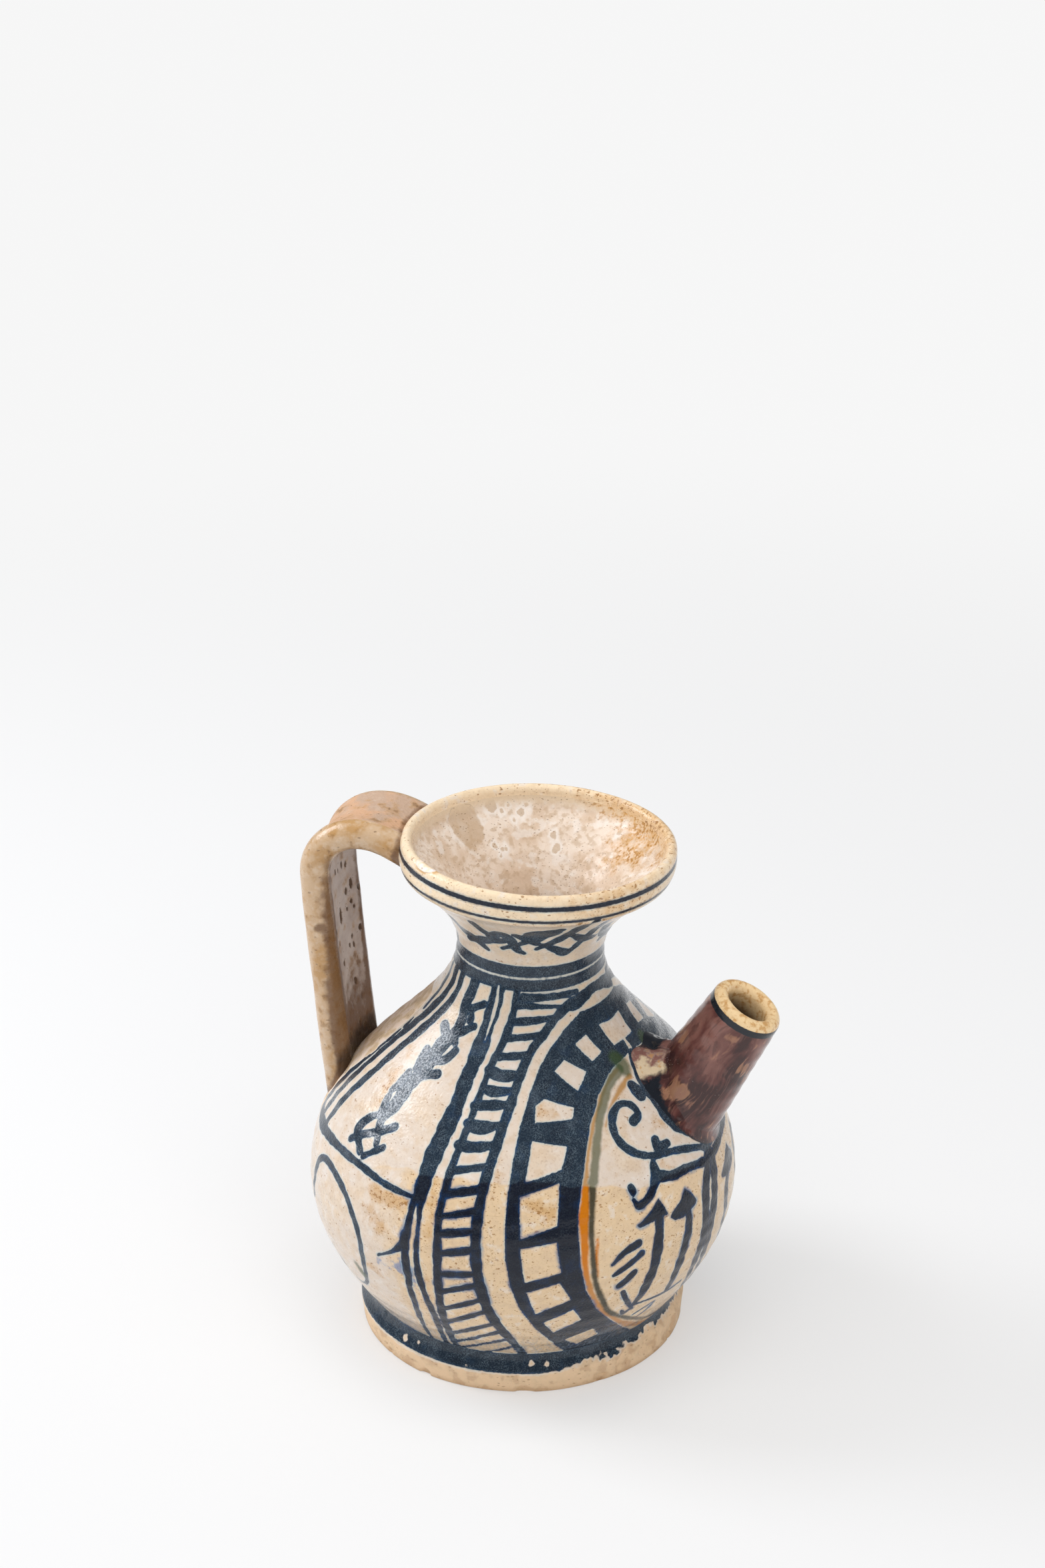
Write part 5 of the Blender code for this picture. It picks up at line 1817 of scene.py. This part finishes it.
@dataclass
class Spout:
    """The tapered tube, its bore and the wad of clay that holds it to the shoulder."""

    wheel: Wheel
    root_height: float = 84.0
    pitch: float = math.radians(60.4)
    length: float = 37.4
    tip: float = 10.7
    root: float = 13.2
    bore: float = 6.4
    lip_round: float = 3.0
    spare: float = 26.0
    columns: int = 168
    bore_columns: int = 48
    step: float = 0.5
    ring_back: float = 3.0
    ring_width: float = 2.1
    luting_seam: float = 2.1
    luting_width: float = 7.0
    luting_rise: float = 5.0
    luting_turn: float = math.radians(196.0)
    luting_spread: float = math.radians(46.0)
    luting_tuck: float = 0.12
    luting_columns: int = 220
    luting_rows: int = 26
    luting_sink: float = 1.2
    bare_turn: float = 210.0
    bare_half: float = 17.0
    solve_steps: int = 40
    hand: Hand = Hand(lump=0.3, ring_height=0.05, pit_depth=0.2, pit_size=3.0)

    @cached_property
    def frame(self) -> Matrix:
        """The spout's own axes: Z along the tube, from where its axis leaves the shoulder."""
        root = Vector((float(FORM.radius(self.root_height)), 0.0, self.root_height)) * MM
        return Matrix.Translation(root) @ Matrix.Rotation(0.5 * math.pi - self.pitch, 4, "Y")

    @cached_property
    def axes(self) -> Points:
        """The directions of the spout's axes, one in each column."""
        return np.array(self.frame.to_3x3())

    @cached_property
    def origin(self) -> Points:
        """The place of the spout's axes in millimetres."""
        return np.array(self.frame.translation) / MM

    def flank(self, along: Points) -> Points:
        """Return the tube's radius along its axis."""
        return self.tip + (self.root - self.tip) * (self.length - along) / self.length

    def line(self) -> Points:
        """Return the tube's section, up the outside, over the lip and down the bore."""
        shoulder = self.length - self.lip_round
        low, high = ([self.flank(along), along] for along in (-self.spare, shoulder))
        half = 0.5 * (high[0] - self.bore)
        turn = np.linspace(0.0, math.pi, 22)
        lip = np.column_stack([
            self.bore + half + half * np.cos(turn), shoulder + self.lip_round * np.sin(turn)
        ])
        outside = even(np.vstack([low, high, lip[1:]]), self.step)
        inside = even(np.array([lip[-1], [self.bore, -self.spare]]), 3.0 * self.step)[1:]
        return np.vstack([outside, inside, outside[:1]])

    def bore_tool(self) -> bpy.types.Mesh:
        """Return a rod that pierces the shoulder under the tube."""
        ends = [(0.0, -self.spare), (self.bore, -self.spare), (self.bore, self.spare), (0.0, self.spare)]
        mesh = self.wheel.turn("bore", np.array(ends), self.bore_columns, SMOOTH_HAND, None, False)
        mesh.transform(self.frame)
        return mesh

    def build(self, finish: ManganeseFinish, seat: bpy.types.Mesh) -> bpy.types.Object:
        """Turn the tube, seat it on the shoulder and mark its lip and ring.

        Args:
            finish: Finish of the tube.
            seat: Mesh of the vessel that the tube is cut to.

        Returns:
            The piece.
        """
        mesh = self.wheel.turn("pouring_spout", self.line(), self.columns, self.hand, finish.make(), False)
        mesh.transform(self.frame)
        mesh = carve(mesh, seat)
        across, aside, along = self.own_places(vertex_places(mesh)).T
        bored = np.hypot(across, aside) < self.bore + 0.8
        back = self.length - along + 0.5 * np.sin(np.arctan2(aside, across) + 0.6)
        ring = 0.5 * self.ring_width - np.abs(back - self.ring_back)
        store(mesh, Paint.COBALT, np.where(bored, -REACH, ring))
        store(mesh, "lip", np.where(bored, REACH, self.ring_back - back))
        # Painted shade that deepens down the bore.
        store(mesh, "bored", np.where(bored, smooth_step(self.length - along, 1.0, 9.0), 0.0))
        store(mesh, "wad", -REACH)
        return present("pouring_spout", mesh)

    def own_places(self, points: Points) -> Points:
        """Return points in the spout's own axes."""
        return (points - self.origin) @ self.axes

    def on_flank(self, along: Points, out: Points) -> Points:
        """Return points on the tube, at places along it and in directions round it."""
        return self.origin + along[:, None] * self.axes[:, 2] + out * self.flank(along)[:, None]

    def meeting(self, angle: Points) -> tuple[Points, Points, Points]:
        """Find where the tube meets the shoulder in directions round it.

        Args:
            angle: Directions round the tube.

        Returns:
            The meeting points, the outward directions there and the places along the tube.
        """
        out = np.column_stack([np.cos(angle), np.sin(angle), np.zeros(len(angle))]) @ self.axes.T
        low = np.full(len(angle), -self.spare)
        high = np.full(len(angle), self.length)
        for _ in range(self.solve_steps):
            middle = 0.5 * (low + high)
            inside = wheel_places(self.on_flank(middle, out))[2] > 0.0
            low = np.where(inside, middle, low)
            high = np.where(inside, high, middle)
        return self.on_flank(low, out), out, low

    @staticmethod
    def on_skin(points: Points, proud: float) -> Points:
        """Return the places on the leaned vessel's skin nearest to points, a little proud of it."""
        upright = FORM.upright(points)
        turn = -np.degrees(np.arctan2(upright[:, 1], upright[:, 0]))
        height = upright[:, 2]
        slope = FORM.radius(height + 0.5) - FORM.radius(height - 0.5)
        lift = proud * np.hypot(1.0, slope)
        gap = np.hypot(upright[:, 0], upright[:, 1]) - FORM.radius(height) - lift
        height = height + gap * slope / (1.0 + slope * slope)
        placed = FORM.skin(turn, height)
        placed[:, :2] *= (1.0 + lift / FORM.radius(height))[:, None]
        return FORM.lean(placed)

    def luting_mesh(self) -> bpy.types.Mesh:
        """Return the wad as a closed ring whose section runs from the tube to the shoulder."""
        angle = np.linspace(0.0, 2.0 * math.pi, self.luting_columns, endpoint=False)
        meet, out, along = self.meeting(angle)
        up = self.axes[:, 2]
        swell = np.exp(-(((angle - self.luting_turn) / self.luting_spread) ** 2))
        lump = 1.0 + swell * (0.16 * np.sin(5.0 * angle + 1.0) + 0.1 * np.sin(11.0 * angle))
        rise = ((self.luting_seam + self.luting_rise * swell) * lump)[:, None]
        width = ((self.luting_seam + self.luting_width * swell) * lump)[:, None]
        taper = self.flank(along + rise[:, 0]) - self.flank(along) - self.luting_tuck
        top = meet + up * rise + out * taper[:, None]
        toward = self.on_skin(meet + out * width * 0.5, 0.0) - meet
        toward /= np.maximum(np.linalg.norm(toward, axis=1), 1e-6)[:, None]
        rim = self.on_skin(meet + toward * width, 0.05)
        elbow = meet + 0.3 * (top - meet) + 0.3 * (rim - meet)
        bends = [0.55 * elbow + 0.45 * end for end in (top, rim)]
        front = bezier(top, *bends, rim, self.luting_rows)
        sink = self.luting_sink
        under = np.array([
            self.on_skin(rim, -sink),
            self.on_skin(meet, -sink) - out * sink,
            meet - out * sink + up * 0.5 * rise,
            top - out * sink,
        ])
        points = np.concatenate([front, under]).swapaxes(0, 1)
        index = np.arange(points.shape[0] * points.shape[1]).reshape(points.shape[:2])
        after = np.roll(index, -1, axis=0)
        ring = [index, np.roll(index, -1, axis=1), np.roll(after, -1, axis=1), after]
        faces = np.stack(ring, axis=2).reshape(-1, len(ring))
        mesh = bpy.data.meshes.new("spout_luting")
        mesh.from_pydata((points.reshape(-1, 3) * MM).tolist(), [], faces.tolist())
        return mesh

    def build_luting(self, finish: ManganeseFinish) -> bpy.types.Object:
        """Model and dress the wad of clay: glazed like the tube, but for the bare swell beside it."""
        mesh = self.luting_mesh()
        mesh.materials.append(finish.make())
        mesh.shade_smooth()
        points = vertex_places(mesh)
        wave = np.sin(points[:, 0] * 1.1) * np.sin(points[:, 1] * 0.9 + 1.0) * np.sin(points[:, 2] * 1.3)
        across, aside, along = self.own_places(points).T
        gap = np.hypot(across, aside) - self.flank(along)
        proud = smooth_step(gap, 0.2, 1.6) * smooth_step(-wheel_places(points)[2], 0.2, 1.4)
        move_vertices(mesh, points + vertex_values(mesh, "normal") * (0.5 * wave * proud)[:, None])
        angle = np.degrees(np.arctan2(aside, across)) % 360.0
        beside = 0.16 * (np.abs(angle - self.bare_turn) - self.bare_half)
        store(mesh, "wad", np.minimum(-beside, 1.2 * (gap - 0.6)))
        store(mesh, Paint.COBALT, 0.2 * np.minimum(beside, gap - 1.7))
        drop = points[beside < 0.0, 2].max() - points[:, 2]
        store(mesh, "wad_low", np.clip(drop * 0.35 - 0.9, -1.0, 1.0))
        store(mesh, "lip", -REACH)
        return present("spout_luting", mesh)


@dataclass
class Handle:
    """The pulled strap from the lip to the shoulder, rolled along both edges."""

    width: float = 30.5
    edge: float = 9.2
    middle: float = 6.6
    lip_growth: float = 1.06
    reach: float = 61.3
    crown_rise: float = 3.4
    crown_share: float = 0.38
    bend: float = 8.5
    bend_drop: float = 14.5
    root_height: float = 79.0
    root_sweep: float = 16.5
    lip_drop: float = 9.5
    lip_sink: float = 17.0
    lip_pitch: float = math.radians(32.0)
    lip_sweep: float = 10.0
    spare: float = 13.0
    section_step: float = 0.55
    path_step: float = 0.6
    path_resolution: int = 48
    hollow: Knot = (-40.0, 0.0, 126.0)
    hand: Hand = Hand(lump=0.7, pit_depth=0.4, pit_size=2.6, pit_share=0.25, pit_stretch=1.8, seed=8.0)
    spot: Knot = (-58.8, -15.1, 127.9)
    pit_sink: float = 0.8
    pits: tuple[tuple[float, float, float, float], ...] = (
        (3.4, 132.1, 1.2, 1.4), (6.8, 133.3, 1.0, 1.9), (-2.6, 126.9, 1.1, 2.9), (9.2, 117.9, 0.8, 1.2),
        (6.0, 127.9, 0.9, 0.8), (2.9, 126.5, 0.8, 0.7), (7.3, 125.5, 0.8, 0.7), (10.8, 130.6, 0.8, 1.3),
        (-4.5, 111.8, 0.7, 0.9), (2.7, 102.8, 1.2, 1.3), (5.1, 96.1, 1.1, 1.6), (-1.4, 96.4, 0.8, 0.9),
    )
    corner_heights: Knot = (84.0, 134.0, 150.0)
    corner_grime_and_shade: Knot = (1.5, 1.2, 0.6)
    crease_shade_top: float = 120.0

    @property
    def flat(self) -> float:
        """Half the width between the rolls."""
        return 0.5 * (self.width - self.edge)

    def tree(self) -> GeometryBook:
        """Return the geometry tree that pulls a section along a path."""
        book = GeometryBook("pulled_strap")
        section = book.input("Section", "NodeSocketObject")
        step, half_inside = book.inputs("Step", "Half inside")
        hollow = book.input("Hollow", "NodeSocketVector")
        material = book.input("Material", "NodeSocketMaterial")
        path = book.node("GeometryNodeResampleCurve", {"mode": "LENGTH"},
                         {"Curve": book.geometry, "Length": step})
        ring = book.node("GeometryNodeObjectInfo", {}, {"Object": section}, "Geometry")
        drawn = {"Curve": path, "Profile Curve": ring, "Fill Caps": True}
        mesh = book.welded(book.node("GeometryNodeCurveToMesh", {}, drawn))
        mesh = book.node("GeometryNodeFlipFaces", {}, {"Mesh": mesh})
        inward = book.vector("NORMALIZE", book.vector("SUBTRACT", hollow, book.place))
        facing = book.vector("DOT_PRODUCT", book.normal, inward).output("Value")
        across = book.math("ABSOLUTE", book.part(book.place, "Y"))
        mesh = book.dented(mesh, facing.rise(0.3, 0.5) * (across / half_inside).fall(0.85, 1.0))
        book.finish(mesh, material)
        return book

    def section(self) -> bpy.types.Object:
        """Return the strap's section: a roll along each edge and a hollow between them."""
        roll = 0.5 * self.edge
        turn = np.linspace(0.5 * math.pi, -0.5 * math.pi, 20)
        cap = np.column_stack([self.flat + roll * np.cos(turn), roll * np.sin(turn)])
        share = np.linspace(1.0, -1.0, 26)[1:-1]
        depth = 0.5 * (self.middle + (self.edge - self.middle) * share**2)
        half = np.vstack([cap, np.column_stack([self.flat * share, -depth])])
        ring = even(np.vstack([half, -half, half[:1]]), self.section_step)[:-1]
        curve = bpy.data.curves.new("strap_section", "CURVE")
        curve.dimensions = "3D"
        spline = curve.splines.new("POLY")
        spline.points.add(len(ring) - 1)
        for slot, (across, deep) in zip(spline.points, ring):
            slot.co = (across * MM, deep * MM, 0.0, 1.0)
        spline.use_cyclic_u = True
        return helper_object("strap_section", curve)

    def path(self) -> bpy.types.Object:
        """Return the strap's path: level off the lip, round the bend, down the grip and onto the shoulder."""
        lip_height = 0.5 * (FORM.lip_base_height + FORM.rim_height)
        lip = FORM.lean(np.array([[-FORM.lip, 0.0, lip_height]]))[0]
        crown_height = FORM.rim_height + self.crown_rise - 0.5 * self.edge
        crown = np.array([lip[0] - (self.reach + lip[0]) * self.crown_share, 0.0, crown_height])
        grip = np.array([-self.reach, 0.0, crown_height - self.bend_drop])
        foot = np.array([-float(FORM.radius(self.root_height)), 0.0, self.root_height])
        down = (foot - grip) / np.linalg.norm(foot - grip)
        off_lip = np.array([-math.cos(self.lip_pitch), 0.0, math.sin(self.lip_pitch)])
        stops = (
            (lip + [self.lip_sink, 0.0, -self.lip_drop], off_lip, self.lip_sweep, self.lip_growth),
            (crown, np.array([-1.0, 0.0, 0.0]), self.bend, 1.0),
            (grip, np.array([0.0, 0.0, -1.0]), self.bend, 1.0),
            (foot + down * self.spare, down, self.root_sweep, 1.0),
        )
        curve = bpy.data.curves.new("strap_path", "CURVE")
        curve.dimensions = "3D"
        curve.resolution_u = self.path_resolution
        spline = curve.splines.new("BEZIER")
        spline.bezier_points.add(len(stops) - 1)
        for slot, (place, heading, reach, growth) in zip(spline.bezier_points, stops):
            slot.handle_left_type = slot.handle_right_type = "FREE"
            slot.co = Vector(place * MM)
            slot.handle_left = Vector((place - heading * reach) * MM)
            slot.handle_right = Vector((place + heading * reach) * MM)
            slot.radius = growth
        return helper_object("strap_path", curve)

    def build(self, finish: StrapFinish, seat: bpy.types.Mesh) -> bpy.types.Object:
        """Pull the strap and seat both its ends on the vessel.

        Args:
            finish: Finish of the strap.
            seat: Mesh of the vessel that the ends are cut to.

        Returns:
            The piece.
        """
        section = self.section()
        mesh = self.tree().run(self.path(), {
            "Section": section,
            "Step": self.path_step * MM,
            "Hollow": tuple(value * MM for value in self.hollow),
            "Half inside": self.flat * MM,
            "Material": finish.make(),
            **self.hand.values(),
        })
        bpy.data.objects.remove(section, do_unlink=True)
        mesh = carve(mesh, seat)
        self.dress(mesh)
        return present("strap_handle", mesh)

    def dress(self, mesh: bpy.types.Mesh) -> None:
        """Sink the deep pits, and mark the strap's inside, its rubbed back, the grime and painted shade in
        its corners and low on its inside, a stain, and the painted shade with some grime where it nears the
        shoulder.
        """
        points = vertex_places(mesh)
        normals = vertex_values(mesh, "normal")
        inward = np.array(self.hollow) - points
        inward[:, 1] = 0.0
        inward /= np.linalg.norm(inward, axis=1)[:, None]
        facing = (normals * inward).sum(axis=1)
        fray = 0.35 * ragged(points, 1.8, 5.0)
        offs = [
            np.hypot((points[:, 1] - across) / wide, (points[:, 2] - height) / tall)
            for across, height, wide, tall in self.pits
        ]
        deep = smooth_step(facing, 0.4, 0.7) * (1.0 - smooth_step(np.min(offs, axis=0) + fray, 0.5, 1.15))
        move_vertices(mesh, points - normals * (self.pit_sink * deep)[:, None])
        store(mesh, "deep_pit", deep)
        across, height = np.abs(points[:, 1]), points[:, 2]
        middle = 1.0 - smooth_step(across, self.flat - 1.0, self.flat + 1.5)
        store(mesh, "inner", smooth_step(facing, 0.2, 0.6) * middle)
        store(mesh, "outer", smooth_step(-facing, 0.3, 0.7) * middle)
        gap = np.abs(wheel_places(points)[2])
        # Grime and painted shade along the corner beside each roll, painted shade with grime low on the
        # inside, painted shade where the strap sits on the shoulder, and one stain.
        off_corner = np.abs(across - self.flat - 1.4)
        corner = smooth_step(facing, -0.25, 0.3) * (1.0 - smooth_step(off_corner, 0.6, 4.4))
        corner *= np.interp(height, self.corner_heights, self.corner_grime_and_shade)
        low = smooth_step(-height, -122.0, -88.0) * smooth_step(facing, -0.1, 0.4)
        seated_shade = 1.0 - smooth_step(gap, 0.5, 3.0)
        spot = 1.0 - smooth_step(np.linalg.norm(points - self.spot, axis=1) + 3.0 * fray, 0.4, 2.8)
        store(mesh, "grime_and_shade", np.clip(corner + 1.1 * low + 0.8 * seated_shade + spot, 0.0, 1.3))
        # Painted shade, with some grime, on the strap's inside as it nears the shoulder.
        under = smooth_step(facing, -0.1, 0.3) * (height < self.crease_shade_top)
        store(mesh, "crease_shade", under * (1.0 - smooth_step(gap, 2.0, 11.0)))


@dataclass(frozen=True)
class Softbox:
    """A soft lamp: where it hangs in metres, its size, watts and tint, and whether the glaze mirrors it."""

    name: str
    place: Knot
    size: Place
    power: float
    tint: Colour
    mirrored: bool = False
    aim: Knot = (0.0, 0.0, 0.08)

    def hang(self) -> None:
        """Hang the lamp and turn it to the vessel."""
        data = bpy.data.lights.new(self.name, "AREA")
        data.shape = "RECTANGLE"
        data.size, data.size_y = self.size
        data.energy = self.power
        data.color = self.tint
        lamp = helper_object(self.name, data)
        lamp.visible_glossy = self.mirrored
        lamp.location = self.place
        facing = Vector(self.aim) - Vector(self.place)
        lamp.rotation_euler = facing.to_track_quat("-Z", "Y").to_euler()


@dataclass
class Studio:
    """Camera, white paper and soft lights from the handle's side, from above and from all round."""

    camera_turn: float = math.radians(18.0)
    camera_distance: float = 0.8136
    camera_height: float = 0.5272
    camera_pitch: float = math.radians(23.32)
    lens: float = 70.0
    sensor: float = 36.0
    paper_half: float = 3.0
    paper: PaperFinish = PaperFinish("white_paper")
    lamps: tuple[Softbox, ...] = (
        Softbox("key_light", (-1.02, 0.0, 0.72), (0.5, 0.6), 7.0, (0.95, 0.98, 1.03), mirrored=True),
        Softbox("top_light", (0.1, -0.3, 1.5), (1.4, 1.2), 11.2, (1.0, 0.99, 0.97)),
        Softbox("fill_light", (0.9, -1.2, 0.9), (1.0, 1.0), 4.2, (1.0, 0.99, 0.97)),
    )
    around: Colour = (0.42, 0.42, 0.43)
    mirrored: Colour = (0.2, 0.2, 0.21)
    backdrop: Colour = (0.925, 0.925, 0.93)

    def camera(self) -> None:
        """Set the camera for the view from the front."""
        data = bpy.data.cameras.new("camera")
        data.lens = self.lens
        data.sensor_fit = "VERTICAL"
        data.sensor_height = self.sensor
        camera = helper_object("camera", data)
        across, back = polar(self.camera_distance, self.camera_turn - 0.5 * math.pi)
        camera.location = (across, back, self.camera_height)
        camera.rotation_euler = (0.5 * math.pi - self.camera_pitch, 0.0, self.camera_turn)
        bpy.context.scene.camera = camera

    def floor(self) -> None:
        """Lay the paper under the vessel."""
        half = self.paper_half
        mesh = bpy.data.meshes.new("paper_floor")
        corners = [(-half, -half, 0.0), (half, -half, 0.0), (half, half, 0.0), (-half, half, 0.0)]
        mesh.from_pydata(corners, [], [(0, 1, 2, 3)])
        mesh.materials.append(self.paper.make())
        helper_object("paper_floor", mesh)

    def world(self) -> None:
        """Light the room softly, darker in the glaze's mirror and bright to the camera."""
        world = bpy.data.worlds.new("studio")
        bpy.context.scene.world = world
        world.use_nodes = True
        book = NodeBook(world.node_tree)
        path = book.node("ShaderNodeLightPath", {}, {}, "Is Camera Ray")
        seen = book.math("MAXIMUM", path, path.output("Is Transmission Ray"))
        unseen = book.mix(path.output("Is Glossy Ray"), self.around, self.mirrored)
        book.feed(world.node_tree.nodes["Background"], "Color", book.mix(seen, unseen, self.backdrop))

    def set(self) -> None:
        """Set the whole studio."""
        self.camera()
        self.floor()
        for lamp in self.lamps:
            lamp.hang()
        self.world()
        bpy.context.scene.view_settings.view_transform = "Standard"


def seat_mesh(wheel: Wheel) -> bpy.types.Mesh:
    """Return the vessel's outside, a little under its skin, as the tool that seats the luted pieces."""
    sink = 0.5
    wall = FORM.wall(FORM.foot_height, FORM.lip_base_height, sink)
    skin = even(np.vstack([wall, FORM.lip_section(0.5) - [sink, 0.0]]), 1.5)
    line = np.vstack([[0.0, FORM.foot_height], skin, [0.0, FORM.rim_height - 0.2]])
    return wheel.turn("seat", line, 180, SMOOTH_HAND, None, True)


def main() -> None:
    """Dress the cruet piece by piece from the foot up, and set the studio."""
    logging.basicConfig(level=logging.INFO, format="%(name)s: %(message)s")
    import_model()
    wheel = Wheel()
    ornament = Ornament()
    foot_glaze = GlazeFinish(
        "foot_glaze", srgb(236, 208, 172), srgb(240, 210, 172),
        clay=srgb(218, 182, 146), bare_clay=srgb(246, 214, 176),
    )
    body_glaze = GlazeFinish(
        "painted_tin_glaze", srgb(230, 214, 198), srgb(232, 204, 166), bare_clay=srgb(250, 228, 208),
    )
    mouth_glaze = GlazeFinish(
        "painted_mouth_glaze", srgb(228, 209, 188), srgb(250, 227, 194), clay=srgb(238, 212, 176),
        bare_clay=srgb(254, 242, 236), cobalt_thin=srgb(44, 54, 70), rust=srgb(212, 160, 90),
    )
    spout = Spout(wheel)
    manganese = ManganeseFinish("manganese_glaze", 0.5 * math.pi - spout.pitch)
    Foot(wheel, ornament).build(foot_glaze)
    Globe(wheel, ornament).build(body_glaze, spout.bore_tool())
    Mouth(wheel, ornament).build(mouth_glaze, FunnelFinish("worn_funnel_glaze"))
    Handle().build(StrapFinish("buff_strap_glaze"), seat_mesh(wheel))
    spout.build(manganese, seat_mesh(wheel))
    spout.build_luting(replace(manganese, name="luting_glaze"))
    Studio().set()


if __name__ == "__main__":
    main()
